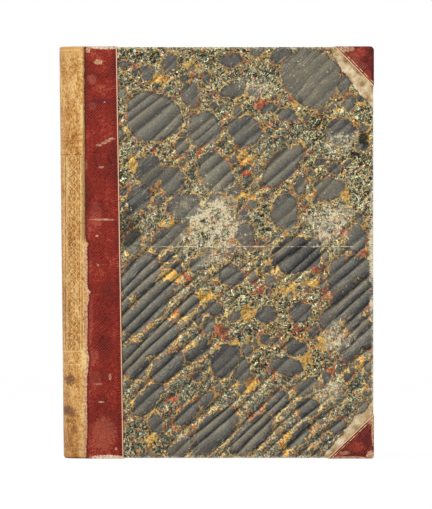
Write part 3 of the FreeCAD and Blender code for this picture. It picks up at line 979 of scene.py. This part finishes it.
leather = {
    "deep": fromSrgb(70, 5, 6),
    "red": fromSrgb(136, 22, 14),
    "faded": fromSrgb(176, 92, 70),
    "ridge": fromSrgb(186, 76, 50),
    "bare": fromSrgb(228, 186, 146),
    "pale": fromSrgb(240, 218, 186),
    "purple": fromSrgb(86, 24, 48),
    "gilt": fromSrgb(244, 204, 158),
    "dark": fromSrgb(60, 16, 24),
    # groove: colour of the painted shade in the joint's hollow, also used for the dark line along the
    # leather's edge
    "groove": fromSrgb(78, 26, 18),
    "cornerDeep": fromSrgb(44, 6, 8),
    "cornerRed": fromSrgb(86, 8, 12),
    "ridgeShare": 0.36,
    "cornerRidgeShare": 0.34,
    "wear": 0.30,
    "cornerWear": 0.34,
    "sideLines": [(0.65 * mm, 0.29 * mm, 0.36)],  # gilt lines: inset from the edge, half width, wear
    "cornerLines": [(0.35 * mm, 0.30 * mm, 0.34), (1.9 * mm, 0.22 * mm, 0.48)],
    "dashPitch": 1.85 * mm,
}

# Torn edge of the tan leather where it lies on the red: pixel row and column of the front cover
jointEdge = [
    (44, 84.2), (120, 84.4), (165, 84.9), (200, 84.9), (232, 85.2), (241, 86.0), (244, 88.8), (247, 87.0),
    (262, 87.4), (285, 87.2), (289, 88.2), (292, 91.2), (295, 88.6), (299, 89.4), (303, 87.6), (345, 87.2),
    (352, 87.6), (357, 89.2), (364, 88.4), (380, 87.0), (400, 86.8), (430, 87.2), (444, 86.4), (460, 86.2),
]

# Scuffs on the front cover's leathers: pixel column and row, half width, half height, colour, strength
sideScuffs = [
    (98, 62, 5, 2.4, "bare", 1.0), (92, 79, 4.5, 5, "faded", 0.8), (92, 106, 4, 5, "faded", 0.5),
    (101, 101, 13, 2.2, "purple", 0.9), (104.7, 102, 0.9, 0.9, "bare", 1.0),
    (112, 138.8, 3.2, 1.4, "bare", 0.8), (108, 140.8, 3.4, 1.3, "bare", 0.8),
    (104, 142.9, 3.4, 1.3, "bare", 0.6), (99, 145.2, 3.6, 1.2, "bare", 0.7),
    (103, 219.6, 13, 1.1, "bare", 0.8), (104, 434, 12, 17, "faded", 0.8),
    (106, 46.2, 22, 3.0, "pale", 1.4), (88, 50, 2.5, 3, "bare", 0.9), (107, 457.4, 17, 2.4, "pale", 1.3),
    (90, 318, 3.2, 26, "faded", 0.4), (101.5, 167, 3, 1.1, "bare", 0.8), (97, 236, 1.6, 1.2, "bare", 0.8),
    (98, 265, 1.4, 1.2, "bare", 0.8), (96, 215, 6, 14, "faded", 0.45), (95, 355, 4, 6, "faded", 0.6),
    (110, 377, 1.4, 3, "bare", 0.7), (98, 384, 5, 1.0, "bare", 0.5), (101, 402, 3, 0.9, "bare", 0.9),
    (96, 380, 6, 10, "faded", 0.35), (86, 165, 1.2, 5, "bare", 0.5), (104, 330, 8, 30, "deep", 0.3),
    (116, 449, 1.2, 1.5, "bare", 0.8),
]
# the dark marks at columns 372 and 373, along the fore-edge, are painted shade on the cover's rim
headScuffs = [
    (346, 49, 9, 3, "bare", 0.8), (357, 53, 10, 4, "ridge", 0.5), (368, 76, 4, 7, "ridge", 0.5),
    (354, 58, 7, 5, "faded", 0.5), (372, 49, 3, 4, "dark", 0.8), (373, 66, 1.6, 20, "dark", 0.7),
    (360, 66, 8, 5, "faded", 0.5), (352, 45.4, 24, 1.2, "bare", 0.5), (369, 84, 4, 3, "bare", 0.6),
    (361, 50, 5, 3, "ridge", 0.6), (366, 60, 3, 6, "deep", 0.6),
]
tailScuffs = [
    (371, 455, 5, 4, "bare", 1.0), (372.8, 430, 1.4, 16, "bare", 0.9), (350, 457.6, 20, 1.4, "bare", 0.9),
    (356, 447, 10, 5, "ridge", 0.5), (370, 420, 3, 6, "bare", 0.5), (345, 453, 6, 2, "bare", 0.5),
    (338, 455, 5, 3, "faded", 0.7), (364, 424, 6, 5, "dark", 0.5), (366, 440, 4, 6, "dark", 0.4),
]


def leatherMaterial(name, deep, red, ridgeShare, scuffs, lines, wearAmount, edgeShadow=None):
    material, tree, shader = newMaterial(name, 0.5, 0.18)
    place = objectPlace(tree)
    skin = useGroup(tree, grain, Vector=place)
    broad = noise(tree, place, 22 * mm, 4, 0.6)
    fine = noise(tree, place, 1.5 * mm, 4, 0.8)
    tone = maths(tree, "MULTIPLY_ADD", fine, 0.9, times(tree, broad, 0.7))
    colour = colours(tree, tone, [(0.66, deep), (0.86, red), (1.0, leather["faded"])])
    # the grain's ridges painted lighter: partly rubbed dye, partly painted highlight on the raised grain
    colour = mixColour(tree, times(tree, skin["Ridge"], ridgeShare), colour, leather["ridge"])
    flecks = ease(tree, noise(tree, place, 1.0 * mm, 3, 0.8), 0.42, 0.60)
    flecks = maths(tree, "MULTIPLY_ADD", flecks, 0.7, 0.3)
    worn = useGroup(tree, rub, Vector=place, Amount=wearAmount)["Mask"]
    colour = mixColour(tree, times(tree, worn, 0.6), colour, leather["faded"])
    for *oval, shade, strength in scuffs:
        share = times(tree, ovalMark(tree, place, oval, 1.6), flecks, strength)
        colour = mixColour(tree, share, colour, leather[shade])
    if edgeShadow is not None:
        colour = edgeShadow(tree, place, colour)
    gilt = [
        useGroup(tree, tooledLine, Vector=place, Across=across, Offset=offset, Half=half, Wear=wear)["Mask"]
        for across, offset, half, wear in lines
    ]
    colour = mixColour(tree, most(tree, gilt), colour, leather["gilt"])
    feed(tree, shader.inputs["Base Color"], colour)
    rough = maths(tree, "MULTIPLY_ADD", skin["Ridge"], -0.15, 0.58)
    feed(tree, shader.inputs["Roughness"], rough)
    bump(tree, shader, skin["Height"], 0.3 * mm, 0.4)
    return material


def lineThrough(first, second, inset):
    # direction across a line through two points of the cover's plane, and the line's offset along it
    dx, dz = second[0] - first[0], second[1] - first[1]
    length = math.hypot(dx, dz)
    across = (dz / length, 0.0, -dx / length)
    offset = first[0] * across[0] + first[1] * across[2] + inset
    return across, offset


sideEdge = ((sideTail, 0.0), (sideHead, bookHeight))
headEdge = ((headLow[0], bookHeight), (coverEnd, headLow[2]))
tailEdge = ((tailLow[0], 0.0), (coverEnd, tailHigh[2]))


def giltLines(edge, sign, lines):
    # each line's direction, offset, half width and wear; sign says on which side of the edge it lies
    return [(*lineThrough(*edge, sign * inset), half, wear) for inset, half, wear in lines]


def sideShadow(tree, place, colour):
    # painted shade in the hollow of the joint along the tan leather's torn edge, and the row of dashes by
    # the gilt line
    split = axes(tree, place)
    firstColumn, span = 80, 10  # the ramp's grey is the edge's pixel column, over this range
    stops = []
    for row, column in jointEdge[::-1]:
        grey = (column - firstColumn) / span
        stops.append((placeZ(row) / bookHeight, (grey, grey, grey, 1)))
    grey = colours(tree, maths(tree, "DIVIDE", split["Z"], bookHeight), stops)
    reach = maths(tree, "MULTIPLY_ADD", grey, span * photo["pixel"], placeX(firstColumn))
    # painted shade: the red darkens towards the tan edge, where the joint's hollow lies
    hollow = ease(tree, maths(tree, "SUBTRACT", split["X"], reach), 2.0 * mm, 0.5 * mm)
    colour = mixColour(tree, times(tree, hollow, 0.75), colour, leather["groove"])
    across, offset = lineThrough(*sideEdge, 0.0)
    inside = maths(tree, "SUBTRACT", offset, vectorMaths(tree, "DOT_PRODUCT", place, across, output="Value"))
    band = times(tree, ease(tree, inside, 1.3 * mm, 1.7 * mm), ease(tree, inside, 4.4 * mm, 3.6 * mm))
    dash = maths(tree, "FRACT", maths(tree, "DIVIDE", split["Z"], leather["dashPitch"]))
    dash = ease(tree, maths(tree, "ABSOLUTE", maths(tree, "SUBTRACT", dash, 0.5)), 0.30, 0.18)
    kept = ease(tree, noise(tree, place, 3 * mm, 3, 0.7), 0.42, 0.56)
    colour = mixColour(tree, times(tree, dash, band, kept, 0.8), colour, leather["dark"])
    rimLine = ease(tree, inside, 0.25 * mm, 0.0)
    return mixColour(tree, times(tree, rimLine, 0.7), colour, leather["groove"])


sideLeather = leatherMaterial(
    "sideLeather", leather["deep"], leather["red"], leather["ridgeShare"], sideScuffs,
    giltLines(sideEdge, -1, leather["sideLines"]), leather["wear"], sideShadow,
)
headLeather, tailLeather = [
    leatherMaterial(
        name, leather["cornerDeep"], leather["cornerRed"], leather["cornerRidgeShare"], scuffs,
        giltLines(edge, sign, leather["cornerLines"]), leather["cornerWear"],
    )
    for name, scuffs, edge, sign in (
        ("headLeather", headScuffs, headEdge, -1), ("tailLeather", tailScuffs, tailEdge, 1),
    )
]
for cover in ("front", "back"):
    dress(cover + "_side_leather", sideLeather)
    dress(cover + "_head_corner", headLeather)
    dress(cover + "_tail_corner", tailLeather)
print("red leather finished")


# Back of the book: tan leather from joint to joint, rolled in at head and tail

back = {
    "light": fromSrgb(224, 174, 104),
    "tan": fromSrgb(204, 144, 70),
    "brown": fromSrgb(150, 88, 32),
    "bright": fromSrgb(250, 214, 148),
    "raw": fromSrgb(228, 178, 148),
    "rawDark": fromSrgb(176, 116, 92),
    "stain": fromSrgb(104, 60, 36),
    "blind": fromSrgb(122, 76, 34),
    "headBulge": 18.4 * mm,
    "tailBulge": 15.2 * mm,
    "half": coverFace - 0.3 * mm,
    "headRoll": 1.5 * mm,
    "tailRoll": 2.4 * mm,
    "innerRoll": 0.6 * mm,
    "capDepth": 3.4 * mm,
    "capThick": 1.2 * mm,
    "plaitColumn": 72.3,  # pixel column of the plait's middle
    "plaitPitch": 9.6 * mm,
    "plaitSwing": 2.0 * mm,
    "darkRules": (65.4, 79.6, 82.0),  # pixel columns of the upright rules
    "paleRules": (64.0, 66.8, 80.9, 83.2),
    "darkRows": (141, 154.5),  # pixel rows of the level ones
    "paleRows": (351.5, 364.5, 50.0),
    "uprightHalf": 0.32 * mm,
    "levelHalf": 0.34 * mm,
    "rows": 190,
    "columns": 96,
}
back["radius"] = (back["half"] ** 2 + back["headBulge"] ** 2) / (2 * back["headBulge"])

# Stains on the back: pixel column and row, half width, half height, strength
backStains = [
    (70, 380, 6, 5, 0.75), (66, 410, 4, 5, 0.8), (71, 412, 4, 5, 0.7), (69, 421, 4, 2, 0.5),
    (74, 430, 3, 4, 0.6), (66, 395, 3, 3, 0.3), (66, 446, 3, 2, 0.4), (75, 450, 7, 2, 0.3),
    (63, 437, 1.5, 12, 0.5), (82, 400, 1, 3, 0.4), (64, 300, 1.2, 30, 0.35),
]


def backMiddle(height):
    # axis of the back's curve at a height, along X
    bulge = back["tailBulge"] + (back["headBulge"] - back["tailBulge"]) * height / bookHeight
    return jointX - bulge + back["radius"]


def backMaterial():
    material, tree, shader = newMaterial("backLeather", 0.6, 0.3)
    place = objectPlace(tree)
    split = axes(tree, place)
    along, height = split["X"], split["Z"]
    broad = noise(tree, scaled(tree, place, (1, 1, 0.4)), 10 * mm, 4, 0.65)
    fine = noise(tree, place, 1.9 * mm, 4, 0.8)

    # the middle of the back is mottled, the leather by the joints smooth and pale
    field = ease(tree, along, placeX(81), placeX(77.5))
    tone = maths(tree, "MULTIPLY_ADD", fine, 1.4, maths(tree, "MULTIPLY_ADD", broad, 0.8, -0.51))
    tone = maths(tree, "ADD", tone, times(tree, maths(tree, "SUBTRACT", 1.0, field), 0.05))
    colour = colours(
        tree, tone,
        [(0.38, back["brown"]), (0.52, back["tan"]), (0.66, back["light"]), (0.84, back["bright"])],
    )
    patches = ease(tree, noise(tree, scaled(tree, place, (1, 1, 0.5)), 7 * mm, 3, 0.6), 0.46, 0.58)
    pits = ease(tree, noise(tree, place, 1.5 * mm, 4, 0.8), 0.46, 0.60)
    colour = mixColour(tree, times(tree, pits, patches, field, 0.85), colour, back["brown"])

    # tooling: a worn two-strand plait in the panel, ruled lines beside and across it; the pale lines are
    # painted highlights on the tooling's raised edges
    low, high = placeZ(350), placeZ(155)
    inPanel = times(tree, ease(tree, height, low, low + mm), ease(tree, height, high, high - mm))
    swing = maths(tree, "SINE", times(tree, height, 2 * math.pi / back["plaitPitch"]))
    shaken = maths(tree, "MULTIPLY_ADD", maths(tree, "SUBTRACT", fine, 0.5), 2.8 * mm, along)
    shaken = maths(tree, "SUBTRACT", shaken, placeX(back["plaitColumn"]))
    strands = [maths(tree, "MULTIPLY_ADD", swing, sign * back["plaitSwing"], shaken) for sign in (-1, 1)]
    worn = ease(tree, noise(tree, place, 3.2 * mm, 3, 0.7), 0.40, 0.54)
    cutLine = most(tree, [near(tree, strand, 0.0, 0.40 * mm) for strand in strands])
    cutLine = times(tree, cutLine, inPanel, worn)
    # painted highlight beside each strand of the plait
    litLine = most(tree, [near(tree, strand, 0.8 * mm, 0.34 * mm) for strand in strands])
    litLine = times(tree, litLine, inPanel, worn)

    def upright(columns):
        return most(tree, [near(tree, along, placeX(column), back["uprightHalf"]) for column in columns])

    def level(rows):
        return most(tree, [near(tree, height, placeZ(row), back["levelHalf"]) for row in rows])

    kept = ease(tree, noise(tree, place, 2.4 * mm, 3, 0.7), 0.36, 0.52)
    uprightCut = times(tree, upright(back["darkRules"]), inPanel, kept, 0.7)
    levelCut = times(tree, level(back["darkRows"]), ease(tree, along, placeX(83), placeX(81)), kept, 0.8)
    blind = most(tree, [cutLine, uprightCut, levelCut])
    colour = mixColour(tree, times(tree, blind, 0.8), colour, back["blind"])
    head = ease(tree, height, placeZ(60), placeZ(52))
    colour = mixColour(tree, times(tree, head, 0.6), colour, back["light"])
    # painted highlights: the pale rules and rows, lit copies of the tooling in the bright colour
    levelLit = times(tree, level(back["paleRows"]), ease(tree, along, placeX(82), placeX(79)), kept)
    lit = most(tree, [litLine, levelLit, times(tree, upright(back["paleRules"]), inPanel, kept, 0.8)])
    colour = mixColour(tree, times(tree, lit, 0.8), colour, back["bright"])

    # painted shade in the hollow along the joint towards the head, and the raw torn edge below it
    upper = ease(tree, height, placeZ(246), placeZ(238))
    hollow = times(tree, ease(tree, along, placeX(81.6), placeX(84.2)), upper, 0.75)
    # painted shade, in the blind-tooling colour
    colour = mixColour(tree, hollow, colour, back["blind"])
    raw = times(tree, pickUp(tree, "raw"), ease(tree, height, placeZ(238), placeZ(250)))
    rawColour = mixColour(tree, ease(tree, fine, 0.42, 0.56), back["rawDark"], back["raw"])
    colour = mixColour(tree, times(tree, raw, 0.9), colour, rawColour)
    cap = ease(tree, height, placeZ(46.4), placeZ(45.2))
    colour = mixColour(tree, times(tree, cap, 0.55), colour, back["brown"])

    # stains on the front half, soil at the tail
    frontSide = ease(tree, split["Y"], 1 * mm, -7 * mm)
    for *oval, strength in backStains:
        stain = ovalMark(tree, place, oval, 3.0, 0.0, 1.0)
        colour = mixColour(tree, times(tree, stain, strength, frontSide), colour, back["stain"])
    tail = ease(tree, maths(tree, "MULTIPLY_ADD", broad, 30 * mm, height), 62 * mm, 10 * mm)
    colour = mixColour(tree, times(tree, tail, 0.35), colour, back["brown"])
    edge = ease(tree, height, 1.6 * mm, 0.3 * mm)
    colour = mixColour(tree, times(tree, edge, 0.7), colour, back["stain"])
    feed(tree, shader.inputs["Base Color"], colour)
    relief = maths(tree, "MULTIPLY_ADD", blind, -0.8, maths(tree, "MULTIPLY_ADD", lit, 0.4, fine))
    bump(tree, shader, relief, 0.3 * mm)
    feed(tree, shader.inputs["Roughness"], maths(tree, "MULTIPLY_ADD", fine, 0.3, 0.42))
    return material


def makeBack():
    radius, cap, inner = back["radius"], back["capDepth"], back["innerRoll"]
    # section from the inside of the tail, round its rolled edge, up the back and round the head
    ends = []
    for sign, edge, outer in ((-1, 0.0, back["tailRoll"]), (1, bookHeight, back["headRoll"])):
        turned = [(radius - cap, back["capThick"])]
        for step in range(5):
            angle = step / 4 * math.pi / 2
            turned.append((radius - cap + inner * (1 - math.cos(angle)), inner * (1 - math.sin(angle))))
        for step in range(7):
            angle = step / 6 * math.pi / 2
            turned.append((radius - outer * (1 - math.sin(angle)), outer * (1 - math.cos(angle))))
        ends.append([(out, edge - sign * depth) for out, depth in turned])
    low, high = back["tailRoll"], bookHeight - back["headRoll"]
    rows = ends[0]
    rows += [(radius, low + (high - low) * step / back["rows"]) for step in range(1, back["rows"])]
    rows += ends[1][::-1]
    points = []
    for out, z in rows:
        middle = backMiddle(z)
        reach = math.acos(max(-1, min(1, (middle - jointX + jointGap) / out)))
        for column in range(back["columns"] + 1):
            angle = -reach + 2 * reach * column / back["columns"]
            points.append((middle - out * math.cos(angle), out * math.sin(angle), z))
    faces = [face[::-1] for face in gridFaces(len(rows), back["columns"] + 1)]
    piece = makePiece("back_leather", points, faces, backLeather)
    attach(piece, "text_block")
    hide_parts("spine_leather")


backLeather = backMaterial()
makeBack()
print("back leather made")


# Tan leather over each joint, its torn edge lying on the red leather of the cover

joint = {
    "start": -2.0 * mm,
    "lift": 0.10 * mm,
    "thick": 0.28 * mm,
    "nick": 0.2 * mm,  # how far the torn edge jumps from row to row
    "roundOver": 1.0 * mm,  # height over which it bends down at head and tail, and how far
    "dip": 0.5 * mm,
    "rawWidth": 1.6 * mm,
    "rows": 620,
    "columns": 14,
}
# Dark strip under it, a sheet of painted shade in the gap from the back to the cover: place from the joint
# line, share of the way up
underStrip = [(-0.8 * mm, 0.0), (-0.2 * mm, 0.3), (0.2 * mm, 0.6), (0.62 * mm, 1.0)]


def makeJoint(side):
    name = "front_joint_leather" if side < 0 else "back_joint_leather"
    source = random.Random(seed + 5 * side)
    rowsZ = np.linspace(0.1 * mm, bookHeight - 0.1 * mm, joint["rows"])
    edgeRows = [placeZ(row) for row, column in jointEdge][::-1]
    edgeReach = [placeX(column) for row, column in jointEdge][::-1]
    lift, thick, columns = joint["lift"], joint["thick"], joint["columns"]
    startX = jointX + joint["start"]
    nick = 0.0
    points, raw = [], []
    for z in rowsZ:
        nick = 0.45 * nick + source.uniform(-1, 1) * joint["nick"]
        reach = np.interp(z, edgeRows, edgeReach) + nick
        dip = joint["dip"] * max(0.0, 1 - min(z, bookHeight - z) / joint["roundOver"]) ** 2
        middle = backMiddle(z)
        for column in range(columns):
            share = min(column / (columns - 3), 1.0)
            x = startX + (reach - startX) * share
            away = (middle - x) / (back["radius"] + lift)
            onBack = math.sqrt(max(0.0, 1 - away * away)) * (back["radius"] + lift)
            rise = min(max((x - (jointX - 1.0 * mm)) / (2.0 * mm), 0.0), 1.0)
            rise = rise * rise * (3 - 2 * rise)
            y = onBack + (coverFace + thick - onBack) * rise
            if column == columns - 2:
                x += 0.08 * mm
                y -= thick * 0.4
            if column == columns - 1:
                x += 0.10 * mm
                y = min(y, coverFace) - 0.05 * mm
            points.append((x, side * (y - dip), z))
            raw.append(min(1.0, max(0.0, 1.5 - (reach - x) / joint["rawWidth"])))
    faces = gridFaces(len(rowsZ), columns)
    start, upper = len(points), len(faces)
    underRows = np.linspace(0.4 * mm, bookHeight - 0.4 * mm, 40)
    for z in underRows:
        away = (backMiddle(z) - jointX) / back["radius"]
        low = back["radius"] * math.sqrt(1 - away * away) - 0.5 * mm
        rise = coverFace - 0.5 * mm - low
        points.extend((jointX + x, side * (low + rise * share), z) for x, share in underStrip)
    for face in gridFaces(len(underRows), len(underStrip)):
        faces.append(tuple(start + index for index in face))
    if side > 0:
        faces = [face[::-1] for face in faces]
    piece = makePiece(name, points, faces, backLeather)
    piece.data.materials.append(jointShadow)
    for face in piece.data.polygons[upper:]:
        face.material_index = 1
    giveNumbers(piece, "raw", raw + [0.0] * (len(points) - len(raw)))
    y = side * coverFace
    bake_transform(piece)


def jointMaterial():
    # a painted shadow for the gap at the joint: dark brown, mottled by noise
    material, tree, shader = newMaterial("jointShadow", 0.8, 0.15)
    place = objectPlace(tree)
    # mottling of the painted shadow
    worn = noise(tree, place, 2 * mm, 3, 0.7)
    colour = colours(tree, worn, [(0.35, fromSrgb(58, 22, 16)), (0.65, fromSrgb(104, 42, 26))])
    feed(tree, shader.inputs["Base Color"], colour)
    bump(tree, shader, worn, 0.2 * mm)
    return material


jointShadow = jointMaterial()
makeJoint(-1)
makeJoint(1)
print("joints covered")


# Paper of the leaves and the inside of the covers

pages = {
    "leaf": 0.42 * mm,
    "head": fromSrgb(190, 162, 116),
    "foreEdge": fromSrgb(206, 182, 138),
    "shade": fromSrgb(134, 104, 66),
    "endPaper": fromSrgb(222, 204, 164),
    "toned": fromSrgb(176, 142, 92),
    "hollow": 8.0 * mm,  # depth of the hollow fore-edge
    "fromBack": 1.8 * mm,  # leather, inlay and lining behind the pages
    "unevenEnd": 0.28 * mm,
    "unevenFore": 0.3 * mm,
    "columns": 26,
    "backSteps": 40,
}


def pageMaterial():
    material, tree, shader = newMaterial("pageEdges", 0.85, 0.15)
    place = objectPlace(tree)
    lines = noise(tree, scaled(tree, place, (0.03, 4.5, 0.03)), 1.0 * mm, 3, 0.8)
    stains = noise(tree, place, 24 * mm, 4, 0.6)
    colour = colours(tree, lines, [(0.35, pages["shade"]), (0.52, pages["head"]), (0.7, pages["foreEdge"])])
    dirt = ease(tree, stains, 0.5, 0.75)
    colour = mixColour(tree, times(tree, dirt, 0.4), colour, pages["shade"])
    feed(tree, shader.inputs["Base Color"], colour)
    bump(tree, shader, lines, 0.2 * mm)
    return material


def endPaperMaterial():
    material, tree, shader = newMaterial("endPaper", 0.85, 0.15)
    place = objectPlace(tree)
    paper = useGroup(tree, fibre, Vector=place)
    foxing = ease(tree, noise(tree, place, 5 * mm, 4, 0.75), 0.60, 0.74)
    toning = times(tree, ease(tree, paper["Tone"], 0.25, 0.80), 0.35)
    colour = mixColour(tree, toning, pages["endPaper"], pages["toned"])
    colour = mixColour(tree, times(tree, foxing, 0.12), colour, pages["shade"])
    feed(tree, shader.inputs["Base Color"], colour)
    bump(tree, shader, paper["Height"], 0.08 * mm)
    return material


def boardMaterial():
    material, tree, shader = newMaterial("pasteboard", 0.9, 0.1)
    place = objectPlace(tree)
    layers = noise(tree, scaled(tree, place, (0.2, 5, 0.2)), 1.2 * mm, 3, 0.7)
    colour = colours(tree, layers, [(0.35, fromSrgb(120, 98, 68)), (0.65, fromSrgb(166, 142, 104))])
    feed(tree, shader.inputs["Base Color"], colour)
    bump(tree, shader, layers, 0.1 * mm)
    return material


def cordMaterial():
    material, tree, shader = newMaterial("hempCord", 0.9, 0.1)
    place = objectPlace(tree)
    strands = noise(tree, scaled(tree, place, (1, 1, 4)), 0.8 * mm, 3, 0.7)
    colour = colours(tree, strands, [(0.35, fromSrgb(110, 86, 54)), (0.65, fromSrgb(178, 150, 104))])
    feed(tree, shader.inputs["Base Color"], colour)
    bump(tree, shader, strands, 0.2 * mm, 0.6)
    return material


pageEdges = pageMaterial()
endPaper = endPaperMaterial()
pasteboard = boardMaterial()
hempCord = cordMaterial()
for node in ("front_flyleaf", "back_flyleaf", "front_pastedown", "back_pastedown", "spine_lining"):
    dress(node, endPaper)
for node in ("front_board", "back_board", "spine_inlay"):
    dress(node, pasteboard)
for number in range(1, 6):
    dress("sewing_cord_%d" % number, hempCord)


def makePages():
    # leaves in small groups, each group's head, tail and fore-edge a little further out or in
    source = random.Random(seed + 20)
    half = -leafHigh[1]
    count = int(2 * half / pages["leaf"])
    hollow, columns, steps = pages["hollow"], pages["columns"], pages["backSteps"]
    curve = (half ** 2 + hollow ** 2) / (2 * hollow)
    backRadius = back["radius"] - pages["fromBack"]
    pageEnd = jointX - jointGap
    low, high = pageLow[2], pageHigh[2]
    edges = np.linspace(-half, half, count + 1)
    points, faces = [], []

    def foreEdge(y):
        return leafHigh[0] - hollow + curve - math.sqrt(curve ** 2 - y ** 2)

    def addStrip(first, second, flip=False):
        start = len(points)
        points.extend(first)
        points.extend(second)
        size = len(first)
        for number in range(size - 1):
            face = (start + number, start + number + 1, start + size + number + 1, start + size + number)
            faces.append(face[::-1] if flip else face)

    for y0, y1 in zip(edges, edges[1:]):
        headOut = high - source.uniform(0, 1) * pages["unevenEnd"]
        tailOut = low + source.uniform(0, 1) * pages["unevenEnd"]
        foreOut = -source.uniform(0, 1) * pages["unevenFore"]
        topRow, bottomRow = [], []
        for y in (y0, y1):
            for z, rows in ((headOut, topRow), (tailOut, bottomRow)):
                behind = backMiddle(z) - math.sqrt(max(backRadius ** 2 - y ** 2, 0))
                behind = min(behind, pageEnd)
                rows.append([
                    (behind + (foreEdge(y) + foreOut - behind) * column / columns, y, z)
                    for column in range(columns + 1)
                ])
        addStrip(topRow[0], topRow[1])
        addStrip(bottomRow[0], bottomRow[1], True)
        front, rear = [[(foreEdge(y) + foreOut, y, z) for z in (tailOut, headOut)] for y in (y0, y1)]
        addStrip(front, rear)
        # sides of the group, seen where it stands out
        addStrip(bottomRow[0], topRow[0])
        addStrip(bottomRow[1], topRow[1], True)
    # back of the pages with its two shoulders
    rows = []
    for z in np.linspace(low, high, 16):
        middle = backMiddle(z)
        reach = math.acos((middle - pageEnd) / backRadius)
        ring = [(pageEnd, -half, z)]
        for step in range(steps + 1):
            angle = -reach + 2 * reach * step / steps
            ring.append((middle - backRadius * math.cos(angle), backRadius * math.sin(angle), z))
        ring.append((pageEnd, half, z))
        rows.append(ring)
    start = len(points)
    size = len(rows[0])
    for ring in rows:
        points.extend(ring)
    faces.extend(tuple(start + index for index in face) for face in gridFaces(len(rows), size))
    for ring, flip in ((rows[0], False), (rows[-1], True)):
        start = len(points)
        points.extend(ring)
        face = tuple(range(start, start + size))
        faces.append(face[::-1] if flip else face)
    piece = makePiece("page_leaves", points, faces, pageEdges, smooth=False)
    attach(piece, "text_block")
    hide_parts("text_block")


makePages()
print("pages made")


# Endbands: thread wound over a roll, in two colours

endband = {
    "thread": 0.62 * mm,
    "cream": fromSrgb(214, 190, 140),
    "red": fromSrgb(150, 52, 44),
    "turns": 8,  # of each colour before the other one takes over
    "perThread": 5,
    "ring": 12,
}


def endbandMaterial():
    material, tree, shader = newMaterial("endbandThread", 0.7, 0.3)
    place = objectPlace(tree)
    hue = pickUp(tree, "thread")
    soil = noise(tree, place, 3 * mm, 3, 0.6)
    colour = mixColour(tree, hue, endband["cream"], endband["red"])
    colour = mixColour(tree, times(tree, soil, 0.4), colour, pages["shade"])
    feed(tree, shader.inputs["Base Color"], colour)
    strands = noise(tree, scaled(tree, place, (3, 3, 0.5)), 0.4 * mm, 2, 0.6)
    bump(tree, shader, strands, 0.1 * mm)
    return material


def makeEndband(node):
    low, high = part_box(node)
    half = (high[2] - low[2]) / 2
    centreZ = (high[2] + low[2]) / 2
    middle = backMiddle(bookHeight if "head" in node else 0.0)
    radius = middle - low[0] - half
    reach = math.acos((middle - high[0] + half * 0.2) / radius)
    count = int(2 * reach * radius / endband["thread"])
    perThread, ringSize = endband["perThread"], endband["ring"]
    points, hue = [], []
    for step in range(count * perThread + 1):
        angle = -reach + 2 * reach * step / (count * perThread)
        within = (step % perThread) / perThread
        size = half * (0.86 + 0.14 * math.sin(math.pi * within))
        thread = (step // perThread) // endband["turns"] % 2
        for corner in range(ringSize):
            turn = 2 * math.pi * corner / ringSize
            out = radius + size * math.cos(turn)
            z = centreZ + size * math.sin(turn)
            points.append((middle - out * math.cos(angle), out * math.sin(angle), z))
            hue.append(thread)
    faces = []
    rings = count * perThread + 1
    for ring in range(rings - 1):
        for corner in range(ringSize):
            nextCorner = (corner + 1) % ringSize
            a, b = ring * ringSize + corner, ring * ringSize + nextCorner
            faces.append((a, b, b + ringSize, a + ringSize))
    faces.append(tuple(range(ringSize))[::-1])
    faces.append(tuple(range((rings - 1) * ringSize, rings * ringSize)))
    piece = makePiece(node + "_thread", points, faces, endbandThread)
    giveNumbers(piece, "thread", hue)
    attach(piece, "text_block")
    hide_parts(node)


endbandThread = endbandMaterial()
makeEndband("head_endband")
makeEndband("tail_endband")
print("endbands made")


# Paper joint inside each cover, from flyleaf to pastedown

innerJoint = {"fold": 0.9 * mm, "clear": 0.03 * mm, "paste": 0.25 * mm, "foldSteps": 12, "rows": 60}


def makeInnerJoint(side):
    name = "front_paper_joint" if side < 0 else "back_paper_joint"
    flyY = abs(leafLow[1])
    pasteY = boardInside - innerJoint["paste"]
    low, high = flyY + innerJoint["clear"], pasteY - innerJoint["clear"]
    path = [(jointX + 3.0 * mm, flyY + 0.02 * mm), (jointX + 1.2 * mm, low)]
    path += [(jointX + innerJoint["fold"], y) for y in np.linspace(low, high, innerJoint["foldSteps"])]
    path += [(jointX + 1.3 * mm, high), (jointX + 3.2 * mm, pasteY - 0.02 * mm)]
    rowsZ = np.linspace(leafLow[2] + mm, leafHigh[2] - mm, innerJoint["rows"])
    points = [(x, side * y, z) for z in rowsZ for x, y in path]
    faces = gridFaces(len(rowsZ), len(path))
    if side < 0:
        faces = [face[::-1] for face in faces]
    piece = makePiece(name, points, faces, endPaper)
    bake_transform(piece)


makeInnerJoint(-1)
makeInnerJoint(1)
print("inner joints made")
